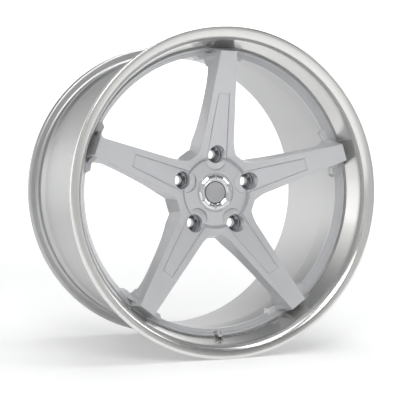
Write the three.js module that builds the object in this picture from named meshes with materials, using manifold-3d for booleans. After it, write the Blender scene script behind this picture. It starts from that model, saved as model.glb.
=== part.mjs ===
// Forged two-piece wheel: a barrel with a deep polished lip, a forged five-spoke centre that is
// bolted into it from behind, a centre cap, a tyre valve and the small parts that go with them.
//
// Millimetres, +Z up. The axle lies along Y with the street side toward -Y, and the origin is on
// the axle, midway between the two flange faces. Spoke 1 points straight up and the spokes are
// numbered clockwise as seen from the street side. The valve is straight down, between two spokes.

import * as THREE from 'three';
import { mergeVertices } from 'three/addons/utils/BufferGeometryUtils.js';
import Module from 'manifold-3d';

const wasm = await Module();
wasm.setup();

// ---------------------------------------------------------------- driving dimensions

// Rim
const RIM_WIDTH = 279.4;             // between the two flange walls
const BEAD_SEAT_RADIUS = 256.4;
const FLANGE_HEIGHT = 17.5;
const FLANGE_THICKNESS = 11;
const BEAD_FILLET = 6;
const BEAD_SEAT_WIDTH = 18;
const HUMP_HEIGHT = 0.6;
const LIP_DEPTH = 51.7;              // street-side flange face to the seam with the centre
const LIP_WALL = 5.6;                // under the street-side bead seat
const POCKET_DROP = 12;              // bead seat to the pocket that locates the centre
const POCKET_DEPTH = 21;
const WALL = 4;
const POCKET_WALL = 8.5;             // round the pocket, thick enough for the valve's nut seat
const WELL_DROP = 17;
const WELL_LENGTH = 28;
const REAR_WALL = 4;                 // under the inboard bead seat
const REAR_STEP = 3.2;               // step of the inboard mouth
const SEAM_CHAMFER = 1;

// Forged centre
const SPOKES = 5;
const RING_WIDTH = 11.1;             // radial width of the painted ring at its front
const RING_RISE = 15.5;              // how far the ring's front slopes along Y
const FACE_SET_BACK = 15;            // seam to the front face at the hub
const SPOKE_PROUD = 28.9;            // spoke end in front of the seam
const SPOKE_END_INSET = 8.1;         // spoke face end inside the ring's outside
const SPOKE_HALF_AT_HUB = 28.4;
const SPOKE_HALF_AT_END = 14.5;
const SPOKE_FLARE_RADIUS = 84;       // where the straight sides turn out into the web
const SPOKE_DRAFT = 0.12;
const FLARE_WIDTH = 12;              // how far a spoke's sides sweep out at the ring's back
const FLARE_REACH = 14;
const FLARE_HEIGHT = 34;
const WEB_DISTANCE = 73;             // axle to the flat at the inner end of each window
const WEB_HALF_FLAT = 9.75;
const WEB_DRAFT = 0.2;
const MOUNT_SET_BACK = 53;           // seam to the hub mounting face
const HUB_DISC_RADIUS = 57.4;
const HUB_GROOVE_WIDTH = 2.6;
const HUB_GROOVE_DEPTH = 2.4;
const HUB_DISC_SET = 6.4;            // disc behind the web's front
const HUB_DOME = 1.2;
const PANEL_HALF_OUTER = 10;
const PANEL_HALF_INNER = 18.5;
const PANEL_DEPTH_OUTER = 1.2;
const PANEL_DEPTH_INNER = 2.9;
const PANEL_END_INSET = 69.5;        // spoke end to the outer end of the panel's floor
const PANEL_RAMP = 5.4;              // lean of the panel's end wall for each mm of its height
const PAD_HALF_ANGLE = 11.4;         // degrees, thick part of the ring beside each spoke
const PAD_END_TAPER = 2;             // degrees lost to the slope at each of its ends
const PAD_WIDTH = 5.5;
const PAD_SET = 10.5;                // pad front behind the seam

// Wheel bolts and hub bore
const BOLT_CIRCLE_RADIUS = 65.2;
const BOLT_HOLE_RADIUS = 7.5;
const BOLT_SEAT_THICKNESS = 9;       // metal left between the mounting face and the pocket floor
const POCKET_RADIUS = 15.3;
const INSERT_HEIGHT = 10;
const INSERT_RIM = 2.6;
const CENTRE_BORE_RADIUS = 35.8;
const CENTRE_BORE_DEPTH = 14;
const CENTRING_RING_RADIUS = 33.3;   // inside of the centring ring
const CENTRING_RING_WIDTH = 10;

// Centre cap
const CAP_RADIUS = 33;
const CAP_CLIP_RADIUS = 29.5;
const CAP_CLIP_DEPTH = 13;
const CAP_WALL = 2;
const CAP_RIM = 4.6;                 // thickness of the bezel in front of the hub disc's seat
const CAP_SEAT_DEPTH = 2.2;
const CAP_NOTCHES = 6;
const CAP_NOTCH_HALF = 1.1;
const CAP_NOTCH_DEPTH = 1.6;
const CAP_BEZEL_INNER = 19.4;
const EMBLEM_RADIUS = 17.9;
const EMBLEM_THICKNESS = 1.6;
const SNAP_WIRE = 1.6;

// Assembly bolts, centre to barrel
const BOLTS_PER_SPOKE = 4;
const BOLT_SPACING = 5.2;            // degrees
const BOLT_RADIUS = 2.5;
const BOLT_FACETS = 8;
const BOLT_HEAD_RADIUS = 4.25;
const BOLT_HEAD_HEIGHT = 5;
const BOLT_REACH = 8;                // engaged in the centre
const BOLT_SOCKET_RADIUS = 2.3;
const BOLT_SOCKET_DEPTH = 2.5;
const BOLT_SPOT_RADIUS = 4.9;        // spot face round each head
const TAB_THICKNESS = 8;
const TAB_EDGE = 0.5;                // barrel tab reaches this much further in than the pad

// Tyre valve
const VALVE_TILT = 15;               // degrees from the axle direction, toward the axle
const VALVE_DROP = 12.7;             // bead seat to where its axis crosses the nut seat
const VALVE_NUT_SEAT = 10.5;         // nut seat behind the seam
const VALVE_GRIP = 15;               // nut seat to grommet seat
const STEM_RADIUS = 4.1;
const STEM_NECK_RADIUS = 3.75;
const STEM_LENGTH = 17;              // in front of the nut seat
const STEM_THREAD_LENGTH = 7;        // of that, reduced for the cap
const STEM_FLANGE_RADIUS = 7;
const STEM_FLANGE_HEIGHT = 2.5;
const STEM_BORE_RADIUS = 2.6;
const STEM_PASSAGE_RADIUS = 1.3;
const STEM_BORE_DEPTH = 15;
const VALVE_HOLE_RADIUS = 5.65;
const NUT_POCKET_RADIUS = 7;
const NUT_ACROSS_FLATS = 11;
const NUT_HEIGHT = 5;
const WASHER_THICKNESS = 1;
const GROMMET_RADIUS = 8;
const GROMMET_HEIGHT = 3.4;
const CORE_RADIUS = 2.2;
const CORE_LENGTH = 9;
const CORE_BORE_RADIUS = 1.3;
const PIN_RADIUS = 0.6;
const PIN_HEAD_RADIUS = 1;
const PIN_TRAVEL = 1.5;
const SPRING_WALL = 0.35;
const CAP_SHELL_RADIUS = 4.95;
const CAP_SHELL_LENGTH = 9.5;
const CAP_SHELL_TOP = 1.8;
const CAP_SEAL_THICKNESS = 1;

// Fits and facets
const GAP = 0.3;
const TOUCH = 0.1;
const RIM_FACETS = 60;
const HUB_FACETS = 40;
const POCKET_FACETS = 20;
const SMALL_FACETS = 16;
const CAP_FACETS = 32;

// ---------------------------------------------------------------- worked-out places

const FLANGE_RADIUS = BEAD_SEAT_RADIUS + FLANGE_HEIGHT;
const HALF_INSIDE = RIM_WIDTH / 2;
const FRONT_FACE = -(HALF_INSIDE + FLANGE_THICKNESS);
const REAR_FACE = -FRONT_FACE;
const SEAM_Y = FRONT_FACE + LIP_DEPTH;
const SEAT_Y = SEAM_Y + POCKET_DEPTH;
const POCKET_WALL_RADIUS = BEAD_SEAT_RADIUS - POCKET_DROP;
const WELL_RADIUS = BEAD_SEAT_RADIUS - WELL_DROP;

const RING_OUTER = POCKET_WALL_RADIUS - GAP;
const RING_INNER = RING_OUTER - RING_WIDTH;
const RING_BACK = SEAT_Y - TOUCH;
const RING_FRONT = SEAM_Y + 0.5;
const PAD_INNER = RING_INNER - PAD_WIDTH;
const PAD_FRONT = SEAM_Y + PAD_SET;

const FACE_START = WEB_DISTANCE - WEB_HALF_FLAT;
const FACE_AT_HUB = SEAM_Y + FACE_SET_BACK;
const SPOKE_END = RING_OUTER - SPOKE_END_INSET;
const FACE_AT_END = SEAM_Y - SPOKE_PROUD;
const MOUNT_FACE = SEAM_Y + MOUNT_SET_BACK;
const DISC_Y = FACE_AT_HUB + HUB_DISC_SET;
const POCKET_FLOOR = MOUNT_FACE - BOLT_SEAT_THICKNESS;

const BOLT_RING_RADIUS = PAD_INNER + BOLT_HEAD_RADIUS + 0.2;
const TAB_BACK = SEAT_Y + TAB_THICKNESS;

// The front face of the spokes is one sloping plane: its Y at a distance from the axle.
function faceY(v) {
  const t = (v - FACE_START) / (SPOKE_END - FACE_START);
  return FACE_AT_HUB + t * (FACE_AT_END - FACE_AT_HUB);
}

// Half the width of a spoke's face at a distance from the axle, outside the flare.
function faceHalfWidth(v) {
  const t = (v - SPOKE_FLARE_RADIUS) / (SPOKE_END - SPOKE_FLARE_RADIUS);
  return SPOKE_HALF_AT_HUB + t * (SPOKE_HALF_AT_END - SPOKE_HALF_AT_HUB);
}

function radians(degrees) {
  return degrees * Math.PI / 180;
}

// ---------------------------------------------------------------- solids

// A closed three.js geometry as a solid, turned the right way out.
function solidOf(geometry) {
  const bare = new THREE.BufferGeometry();
  bare.setAttribute('position', geometry.getAttribute('position'));
  bare.setIndex(geometry.getIndex());
  const merged = mergeVertices(bare, 1e-4);
  const place = merged.getAttribute('position').array;
  const index = merged.getIndex().array;
  const triangles = [];
  let volume = 0;
  const a = new THREE.Vector3();
  const b = new THREE.Vector3();
  const c = new THREE.Vector3();
  for (let i = 0; i < index.length; i += 3) {
    const [p, q, r] = [index[i], index[i + 1], index[i + 2]];
    if (p === q || q === r || r === p) continue;
    triangles.push([p, q, r]);
    a.fromArray(place, p * 3);
    b.fromArray(place, q * 3);
    c.fromArray(place, r * 3);
    volume += a.dot(b.cross(c));
  }
  const facing = volume < 0 ? triangles.map(([p, q, r]) => [p, r, q]) : triangles;
  const mesh = new wasm.Mesh({
    numProp: 3,
    vertProperties: new Float32Array(place),
    triVerts: new Uint32Array(facing.flat()),
  });
  return new wasm.Manifold(mesh);
}

// A solid back as a three.js geometry.
function geometryOf(solid) {
  const mesh = solid.getMesh();
  const geometry = new THREE.BufferGeometry();
  geometry.setAttribute('position', new THREE.BufferAttribute(mesh.vertProperties, 3));
  geometry.setIndex(new THREE.BufferAttribute(mesh.triVerts, 1));
  geometry.computeVertexNormals();
  return geometry;
}

// A profile of [radius, y] points turned about the Y axis. A profile that doesn't start and end on
// the axis is closed on itself.
function turned(profile, facets) {
  const points = profile.map(([radius, y]) => new THREE.Vector2(radius, y));
  const ends = [points[0], points[points.length - 1]];
  if (ends.some((point) => point.x > 0)) points.push(points[0].clone());
  return solidOf(new THREE.LatheGeometry(points, facets));
}

// Two outlines with the same number of points, joined by walls and closed by flat caps. seen picks
// the two coordinates that show an outline's shape.
function lofted(first, second, seen) {
  const count = first.length;
  const ends = [first, second].map((points) => [...points]);
  if (THREE.ShapeUtils.isClockWise(first.map(seen))) ends.forEach((points) => points.reverse());
  const index = [];
  for (const [a, b, c] of THREE.ShapeUtils.triangulateShape(ends[0].map(seen), [])) {
    index.push(a, b, c);
    index.push(count + a, count + c, count + b);
  }
  for (let i = 0; i < count; i += 1) {
    const next = (i + 1) % count;
    index.push(i, count + i, next);
    index.push(next, count + i, count + next);
  }
  const geometry = new THREE.BufferGeometry().setFromPoints(ends.flat());
  geometry.setIndex(index);
  return solidOf(geometry);
}

const fromFront = (point) => new THREE.Vector2(point.x, point.z);
const fromSide = (point) => new THREE.Vector2(point.z, point.y);

// Points on an arc in a profile, angles in degrees.
function arc(centre, radius, from, to, steps) {
  const points = [];
  for (let i = 0; i <= steps; i += 1) {
    const angle = radians(from + (to - from) * i / steps);
    points.push([centre[0] + radius * Math.cos(angle), centre[1] + radius * Math.sin(angle)]);
  }
  return points;
}

// A round bar or hole along Y, between two values of y, with its axis at x and z.
function bar(radius, yFrom, yTo, facets, x = 0, z = 0) {
  return turned([[0, yFrom], [radius, yFrom], [radius, yTo], [0, yTo]], facets)
    .translate([x, 0, z]);
}

// The matrix that turns something on the upward spoke to an angle clockwise from it.
function clockwise(degrees) {
  return new THREE.Matrix4().makeRotationY(radians(degrees));
}

function moved(solid, matrix) {
  return solid.transform(matrix.elements);
}

function ringOf(count, solid, offset = 0) {
  const copies = [];
  for (let k = 0; k < count; k += 1) {
    copies.push(moved(solid, clockwise(offset + k * 360 / count)));
  }
  return copies;
}

function joined(solids) {
  return solids.reduce((sum, solid) => sum.add(solid));
}

// A sector of a ring about the Y axis, centred on the upward direction. Its ends lean in by taper
// degrees from the outer to the inner radius.
function sector(inner, outer, yFrom, yTo, halfAngle, taper) {
  const steps = 4;
  const row = (radius, half, y) => Array.from({ length: steps + 1 }, (unused, i) => {
    const angle = radians(-half + 2 * half * i / steps);
    return new THREE.Vector3(radius * Math.sin(angle), y, radius * Math.cos(angle));
  });
  const outline = (y) => [
    ...row(outer, halfAngle, y),
    ...row(inner, halfAngle - taper, y).reverse(),
  ];
  return lofted(outline(yFrom), outline(yTo), fromFront);
}

// ---------------------------------------------------------------- valve axis

// The valve's own frame has its origin on its axis at the nut seat and +Y toward the tyre. It is
// tilted so that its front end leans toward the axle.
const valveGroup = new THREE.Group();
valveGroup.position.set(0, SEAM_Y + VALVE_NUT_SEAT, -(BEAD_SEAT_RADIUS - VALVE_DROP));
valveGroup.rotation.x = radians(VALVE_TILT) * -1;
valveGroup.updateMatrixWorld();

function onValveAxis(solid) {
  return moved(solid, valveGroup.matrixWorld);
}

// ---------------------------------------------------------------- rim barrel

function makeBarrel() {
  const seat = BEAD_SEAT_RADIUS;
  const tip = FLANGE_THICKNESS / 2;
  const tipRadius = FLANGE_RADIUS - tip;
  const pocketOutside = POCKET_WALL_RADIUS + POCKET_WALL;
  const wellStart = SEAT_Y + 14;
  const taperEnd = HALF_INSIDE - BEAD_SEAT_WIDTH - 15;
  const tyreSide = [
    ...arc([tipRadius, -HALF_INSIDE - tip], tip, -90, 90, 6),
    ...arc([seat + BEAD_FILLET, -HALF_INSIDE + BEAD_FILLET], BEAD_FILLET, -90, -180, 2),
    [seat - 1, -HALF_INSIDE + BEAD_SEAT_WIDTH],
    [seat + HUMP_HEIGHT, -HALF_INSIDE + BEAD_SEAT_WIDTH + 3.5],
    [seat - 1.5, -HALF_INSIDE + BEAD_SEAT_WIDTH + 8],
    [pocketOutside, SEAM_Y + 4],
    [pocketOutside, SEAT_Y + 2],
    [WELL_RADIUS, wellStart],
    [WELL_RADIUS, wellStart + WELL_LENGTH],
    [seat - 5, taperEnd],
    [seat - 1.5, taperEnd + 7],
    [seat + HUMP_HEIGHT, HALF_INSIDE - BEAD_SEAT_WIDTH - 3.5],
    [seat - 1, HALF_INSIDE - BEAD_SEAT_WIDTH],
    ...arc([seat + BEAD_FILLET, HALF_INSIDE - BEAD_FILLET], BEAD_FILLET, 180, 90, 2),
    ...arc([tipRadius, HALF_INSIDE + tip], tip, -90, 90, 4),
  ];
  const mouth = seat - REAR_WALL;
  const lip = seat - LIP_WALL;
  const carSide = [
    [tipRadius - 4, REAR_FACE - 1.5],
    [mouth + 4.5, HALF_INSIDE],
    [mouth, HALF_INSIDE - 8.5],
    [mouth - 1.2, taperEnd + 4],
    [mouth - 1.2 - REAR_STEP, taperEnd + 1],
    [WELL_RADIUS - WALL, wellStart + WELL_LENGTH],
    [WELL_RADIUS - WALL, SEAT_Y],
    [POCKET_WALL_RADIUS, SEAT_Y],
    [POCKET_WALL_RADIUS, SEAM_Y + SEAM_CHAMFER],
    [POCKET_WALL_RADIUS + SEAM_CHAMFER, SEAM_Y],
    [lip + 0.6, -HALF_INSIDE + 9],
    [lip + 2.2, -HALF_INSIDE + 2.4],
    [lip + 5.4, -HALF_INSIDE - 4],
    [lip + 10.2, -HALF_INSIDE - 8.8],
  ];
  let barrel = turned([...tyreSide, ...carSide], RIM_FACETS);
  const tab = sector(PAD_INNER - TAB_EDGE, WELL_RADIUS - 1, SEAT_Y, TAB_BACK, PAD_HALF_ANGLE,
    PAD_END_TAPER);
  barrel = barrel.add(joined(ringOf(SPOKES, tab)));
  const hole = bar(BOLT_RADIUS + GAP, SEAT_Y - 1, TAB_BACK + 1, 12, 0, BOLT_RING_RADIUS);
  const spot = bar(BOLT_SPOT_RADIUS, TAB_BACK, TAB_BACK + 9, 12, 0, BOLT_RING_RADIUS);
  const cut = hole.add(spot);
  barrel = barrel.subtract(joined(assemblyBoltPlaces().map((turn) => moved(cut, turn))));
  return barrel.subtract(valveHole());
}

// The stepped hole that takes the valve: a nut pocket open to the front, a clear hole for the stem
// and a flat on the tyre side for the grommet.
function valveHole() {
  const pocket = bar(NUT_POCKET_RADIUS, -60, 0, 24);
  const clear = bar(VALVE_HOLE_RADIUS, -1, VALVE_GRIP + 1, 24);
  const flat = bar(GROMMET_RADIUS + 1, VALVE_GRIP, VALVE_GRIP + 30, 24);
  return onValveAxis(joined([pocket, clear, flat]));
}

// ---------------------------------------------------------------- forged centre

function assemblyBoltPlaces() {
  const places = [];
  for (let spoke = 0; spoke < SPOKES; spoke += 1) {
    for (let n = 0; n < BOLTS_PER_SPOKE; n += 1) {
      const offset = (n - (BOLTS_PER_SPOKE - 1) / 2) * BOLT_SPACING;
      places.push(clockwise(spoke * 360 / SPOKES + offset));
    }
  }
  return places;
}

// Corner of a window's inner end, in the frame of the upward spoke.
function windowCorner() {
  const half = radians(180 / SPOKES);
  const angle = half - Math.atan2(WEB_HALF_FLAT, WEB_DISTANCE);
  const reach = Math.hypot(WEB_HALF_FLAT, WEB_DISTANCE);
  return [reach * Math.sin(angle), reach * Math.cos(angle)];
}

function makeSpoke() {
  const [cornerU, cornerV] = windowCorner();
  const inner = HUB_DISC_RADIUS - 20;
  const tip = RING_OUTER - 1.2;
  const halfWidths = [
    [cornerU, inner],
    [cornerU, cornerV],
    [(cornerU + SPOKE_HALF_AT_HUB) / 2 - 0.6, (cornerV + SPOKE_FLARE_RADIUS) / 2],
    [SPOKE_HALF_AT_HUB, SPOKE_FLARE_RADIUS],
    [SPOKE_HALF_AT_END, SPOKE_END],
    [faceHalfWidth(tip), tip],
  ];
  const front = FACE_AT_END - 5;
  const back = MOUNT_FACE + 5;
  const outline = (y) => {
    const side = halfWidths.map(([u, v]) => [u + SPOKE_DRAFT * (y - faceY(v)), v]);
    const left = side.map(([u, v]) => new THREE.Vector3(-u, y, v));
    const right = side.map(([u, v]) => new THREE.Vector3(u, y, v)).reverse();
    return [...left, ...right];
  };
  const planform = lofted(outline(front), outline(back), fromFront);
  return planform.intersect(spokeSide(inner, tip));
}

// The spoke seen from the side: the sloping face, the end that drops to the ring, and a back that
// is deep at the hub, slim half way and deep again at the ring.
function spokeSide(inner, tip) {
  const depths = [[0.13, 43.8], [0.28, 35], [0.45, 30.5], [0.63, 29], [0.81, 31.5], [0.95, 42]];
  const reach = (t) => FACE_START + t * (RING_INNER - FACE_START);
  const back = depths.map(([t, depth]) => new THREE.Vector2(reach(t), faceY(reach(t)) + depth));
  back.push(new THREE.Vector2(RING_INNER + 1, RING_BACK));
  const curve = new THREE.SplineCurve(back).getPoints(12);
  const profile = [
    [inner, faceY(inner)],
    [SPOKE_END, FACE_AT_END],
    [tip, RING_FRONT + 0.5],
    [tip, RING_BACK],
    ...curve.reverse().map((point) => [point.x, Math.min(point.y, MOUNT_FACE - 0.5)]),
    [inner, MOUNT_FACE - 0.5],
  ];
  const half = 60;
  const left = profile.map(([v, y]) => new THREE.Vector3(-half, y, v));
  const right = profile.map(([v, y]) => new THREE.Vector3(half, y, v));
  return lofted(left, right, fromSide);
}

// The sweep that carries a spoke's sides out into the ring. It is widest at the back and runs out
// toward the front.
function makeFlare() {
  const steps = 5;
  const outline = (y, width, reach) => {
    const side = [];
    for (let i = 0; i <= steps; i += 1) {
      const angle = radians(90 * i / steps);
      const v = PAD_INNER + 0.5 - reach * (1 - Math.sin(angle));
      const wall = faceHalfWidth(v) + SPOKE_DRAFT * (y - faceY(v)) - 0.4;
      side.push([wall + width * (1 - Math.cos(angle)), v]);
    }
    side.push([side[steps][0], PAD_INNER + 7]);
    const right = side.map(([u, v]) => new THREE.Vector3(u, y, v));
    const left = side.map(([u, v]) => new THREE.Vector3(-u, y, v)).reverse();
    return [...right, ...left];
  };
  const front = RING_BACK - FLARE_HEIGHT;
  return lofted(outline(front, 0.2, FLARE_REACH), outline(RING_BACK, FLARE_WIDTH, FLARE_REACH),
    fromFront);
}

// The hub: a ten-cornered block whose short sides are the flats between the spokes.
function makeHub() {
  const outline = (y, distance) => {
    const points = [];
    for (let k = 0; k < SPOKES; k += 1) {
      const middle = radians((k + 0.5) * 360 / SPOKES);
      for (const side of [-1, 1]) {
        const angle = middle + side * Math.atan2(WEB_HALF_FLAT, WEB_DISTANCE);
        const reach = distance / Math.cos(angle - middle);
        points.push(new THREE.Vector3(reach * Math.sin(angle), y, reach * Math.cos(angle)));
      }
    }
    return points;
  };
  const depth = MOUNT_FACE - FACE_AT_HUB;
  const wide = WEB_DISTANCE + WEB_DRAFT * depth;
  return lofted(outline(FACE_AT_HUB, WEB_DISTANCE), outline(MOUNT_FACE, wide), fromFront);
}

function makeRing() {
  return turned([
    [RING_INNER, SEAM_Y + RING_RISE],
    [RING_OUTER - SEAM_CHAMFER - 0.6, RING_FRONT - 1.4],
    [RING_OUTER, RING_FRONT + SEAM_CHAMFER],
    [RING_OUTER, RING_BACK],
    [RING_INNER, RING_BACK],
  ], RIM_FACETS);
}

// The recessed panel of the upward spoke. Its floor is a plane that gets deeper toward the hub, its
// inner end is round and runs into the hub disc, and its outer end is a ramp.
function makePanelCutter() {
  const uEnd = BOLT_CIRCLE_RADIUS - 8.7;
  const endV = SPOKE_END - PANEL_END_INSET;
  const floorY = (v) => {
    const t = (v - HUB_DISC_RADIUS) / (endV - HUB_DISC_RADIUS);
    return faceY(v) + PANEL_DEPTH_INNER + t * (PANEL_DEPTH_OUTER - PANEL_DEPTH_INNER);
  };
  const outline = (lift, flare, end) => {
    const points = [];
    const inner = PANEL_HALF_INNER + flare;
    for (let i = 0; i <= 12; i += 1) {
      const angle = radians(180 + 15 * i);
      points.push([inner * Math.cos(angle), uEnd + inner * Math.sin(angle)]);
    }
    points.push([PANEL_HALF_OUTER + flare, end]);
    points.push([-PANEL_HALF_OUTER - flare, end]);
    return points.map(([u, v]) => new THREE.Vector3(u, floorY(v) - lift, v));
  };
  const lift = 6;
  return lofted(outline(lift, 1.2, endV + PANEL_RAMP * lift), outline(0, 0, endV), fromFront);
}

// What is turned out of the hub from the front: the shallow disc, the groove round it, and the seat
// and bore for the cap.
function makeHubTurning() {
  const grooveOut = HUB_DISC_RADIUS + HUB_GROOVE_WIDTH;
  const above = FACE_AT_END - 10;
  const capSeat = DISC_Y + CAP_SEAT_DEPTH;
  return turned([
    [0, above],
    [grooveOut + 2.6, above],
    [grooveOut + 2.6, FACE_AT_HUB - 0.2],
    [grooveOut + 0.4, DISC_Y],
    [grooveOut, DISC_Y + HUB_GROOVE_DEPTH],
    [HUB_DISC_RADIUS, DISC_Y + HUB_GROOVE_DEPTH],
    [HUB_DISC_RADIUS - 0.4, DISC_Y],
    [CAP_RADIUS + 2, DISC_Y - HUB_DOME],
    [CAP_RADIUS + GAP, DISC_Y - HUB_DOME],
    [CAP_RADIUS + GAP, capSeat],
    [CAP_CLIP_RADIUS + 1, capSeat],
    [CAP_CLIP_RADIUS + 1, MOUNT_FACE - 5],
    [0, MOUNT_FACE - 5],
  ], HUB_FACETS);
}

function makeCentre() {
  const pad = sector(PAD_INNER, RING_INNER + 5, PAD_FRONT, RING_BACK, PAD_HALF_ANGLE,
    PAD_END_TAPER);
  const spoke = joined([makeSpoke(), makeFlare(), pad]);
  let centre = joined([makeHub(), makeRing(), ...ringOf(SPOKES, spoke)]);
  centre = centre.subtract(makeHubTurning());
  centre = centre.subtract(joined(ringOf(SPOKES, makePanelCutter())));
  const bore = bar(CENTRE_BORE_RADIUS, MOUNT_FACE - CENTRE_BORE_DEPTH, MOUNT_FACE + 10, HUB_FACETS);
  const pocket = bar(POCKET_RADIUS, FACE_AT_END, POCKET_FLOOR, POCKET_FACETS, 0, BOLT_CIRCLE_RADIUS);
  const bolt = bar(BOLT_HOLE_RADIUS, POCKET_FLOOR - 1, MOUNT_FACE + 1, 24, 0, BOLT_CIRCLE_RADIUS);
  centre = centre.subtract(bore);
  centre = centre.subtract(joined(ringOf(SPOKES, pocket.add(bolt))));
  const tapped = bar(BOLT_RADIUS + GAP, RING_BACK - BOLT_REACH - 1.5, RING_BACK + 1, 12,
    0, BOLT_RING_RADIUS);
  centre = centre.subtract(joined(assemblyBoltPlaces().map((turn) => moved(tapped, turn))));
  return centre.subtract(valveHole());
}

// ---------------------------------------------------------------- small parts of the wheel

function makeAssemblyBolt() {
  const headTop = TAB_BACK + TOUCH + BOLT_HEAD_HEIGHT;
  return turned([
    [0, RING_BACK - BOLT_REACH],
    [BOLT_RADIUS, RING_BACK - BOLT_REACH],
    [BOLT_RADIUS, TAB_BACK + TOUCH],
    [BOLT_HEAD_RADIUS, TAB_BACK + TOUCH],
    [BOLT_HEAD_RADIUS, headTop],
    [BOLT_SOCKET_RADIUS, headTop],
    [BOLT_SOCKET_RADIUS, headTop - BOLT_SOCKET_DEPTH],
    [0, headTop - BOLT_SOCKET_DEPTH],
  ], BOLT_FACETS).translate([0, 0, BOLT_RING_RADIUS]);
}

// A steel cup at the bottom of each wheel-bolt pocket, with the cone that the bolt seats on.
function makeSeatInsert() {
  const outer = POCKET_RADIUS - GAP;
  const floor = POCKET_FLOOR - TOUCH;
  const top = floor - INSERT_HEIGHT;
  return turned([
    [BOLT_HOLE_RADIUS + 0.4, floor],
    [outer, floor],
    [outer, top],
    [outer - INSERT_RIM, top],
    [outer - INSERT_RIM, top + 2],
    [BOLT_HOLE_RADIUS + 0.4, floor - 2],
  ].reverse(), SMALL_FACETS).translate([0, 0, BOLT_CIRCLE_RADIUS]);
}

function makeCentringRing() {
  const outer = CENTRE_BORE_RADIUS - GAP;
  const inner = CENTRING_RING_RADIUS;
  const front = MOUNT_FACE - CENTRING_RING_WIDTH;
  return turned([
    [inner, front],
    [outer, front],
    [outer, MOUNT_FACE - 0.5],
    [inner + 0.8, MOUNT_FACE - 0.5],
    [inner, MOUNT_FACE - 1.3],
  ], HUB_FACETS);
}

// ---------------------------------------------------------------- centre cap

const CAP_BACK = DISC_Y + CAP_SEAT_DEPTH - TOUCH;
const CAP_FRONT = CAP_BACK - CAP_RIM;
const CAP_CLIP_BACK = CAP_BACK + CAP_CLIP_DEPTH;

// Cup with a skirt that enters the bore, a groove for the snap ring, and a front plate.
function makeCapBody() {
  const groove = CAP_CLIP_BACK - 4;
  const plate = CAP_BACK - 1.6;
  return turned([
    [0, plate],
    [CAP_RADIUS - 0.6, plate],
    [CAP_RADIUS - 0.6, CAP_BACK],
    [CAP_CLIP_RADIUS, CAP_BACK],
    [CAP_CLIP_RADIUS, groove - SNAP_WIRE],
    [CAP_CLIP_RADIUS - SNAP_WIRE, groove - SNAP_WIRE],
    [CAP_CLIP_RADIUS - SNAP_WIRE, groove],
    [CAP_CLIP_RADIUS, groove],
    [CAP_CLIP_RADIUS, CAP_CLIP_BACK - 1],
    [CAP_CLIP_RADIUS - 1, CAP_CLIP_BACK],
    [CAP_CLIP_RADIUS - 1 - CAP_WALL, CAP_CLIP_BACK],
    [CAP_CLIP_RADIUS - 1 - CAP_WALL, CAP_BACK + 1],
    [0, CAP_BACK + 1],
  ], CAP_FACETS);
}

// Bright ring with a sloping face, cut by notches into equal segments.
function makeCapBezel() {
  const back = CAP_BACK - 1.6 - TOUCH;
  const ring = turned([
    [CAP_BEZEL_INNER, back],
    [CAP_BEZEL_INNER, CAP_FRONT + 1.6],
    [CAP_BEZEL_INNER + 5, CAP_FRONT],
    [CAP_BEZEL_INNER + 7.6, CAP_FRONT],
    [CAP_RADIUS - 1.6, CAP_FRONT + 1.8],
    [CAP_RADIUS, CAP_FRONT + 1.8],
    [CAP_RADIUS, back],
  ].reverse(), CAP_FACETS);
  const outline = (y) => [
    new THREE.Vector3(-CAP_NOTCH_HALF, y, CAP_BEZEL_INNER + 1.8),
    new THREE.Vector3(CAP_NOTCH_HALF, y, CAP_BEZEL_INNER + 1.8),
    new THREE.Vector3(CAP_NOTCH_HALF * 1.5, y, CAP_RADIUS - 1.2),
    new THREE.Vector3(-CAP_NOTCH_HALF * 1.5, y, CAP_RADIUS - 1.2),
  ];
  const notch = lofted(outline(CAP_FRONT - 1), outline(CAP_FRONT + CAP_NOTCH_DEPTH), fromFront);
  return ring.subtract(joined(ringOf(CAP_NOTCHES, notch)));
}

function makeEmblemDisc() {
  const back = CAP_BACK - 1.6 - TOUCH;
  const front = back - EMBLEM_THICKNESS;
  return turned([
    [0, front - 0.5],
    [EMBLEM_RADIUS * 0.6, front - 0.3],
    [EMBLEM_RADIUS - 0.4, front],
    [EMBLEM_RADIUS, front + 0.4],
    [EMBLEM_RADIUS, back],
    [0, back],
  ], CAP_FACETS);
}

// The wire ring is open by a narrow gap, so that it can spring in as the cap is pressed home.
function makeSnapRing() {
  const centre = CAP_CLIP_BACK - 4 - SNAP_WIRE / 2;
  const radius = CAP_CLIP_RADIUS - SNAP_WIRE / 2 + 0.45;
  const wire = SNAP_WIRE / 2 - 0.12;
  const path = new THREE.CatmullRomCurve3(
    Array.from({ length: 37 }, (unused, i) => {
      const angle = radians(8 + 344 * i / 36);
      return new THREE.Vector3(radius * Math.sin(angle), centre, radius * Math.cos(angle));
    }),
  );
  const section = new THREE.Shape().absarc(0, 0, wire, 0, Math.PI * 2);
  const geometry = new THREE.ExtrudeGeometry(section, {
    steps: 36,
    curveSegments: 4,
    extrudePath: path,
    bevelEnabled: false,
  });
  return solidOf(withIndex(geometry));
}

function withIndex(geometry) {
  if (geometry.getIndex() === null) {
    const count = geometry.getAttribute('position').count;
    geometry.setIndex(Array.from({ length: count }, (unused, i) => i));
  }
  return geometry;
}

// ---------------------------------------------------------------- tyre valve

// Everything here is in the valve's own frame: the nut seat at y = 0, the cap toward -y.
const STEM_FRONT = -STEM_LENGTH;
const NECK_START = STEM_FRONT + STEM_THREAD_LENGTH;
const STEM_BACK = VALVE_GRIP + GROMMET_HEIGHT + TOUCH;
const CORE_FRONT = STEM_FRONT + 1.6;
const CORE_BACK = CORE_FRONT + CORE_LENGTH;

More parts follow.
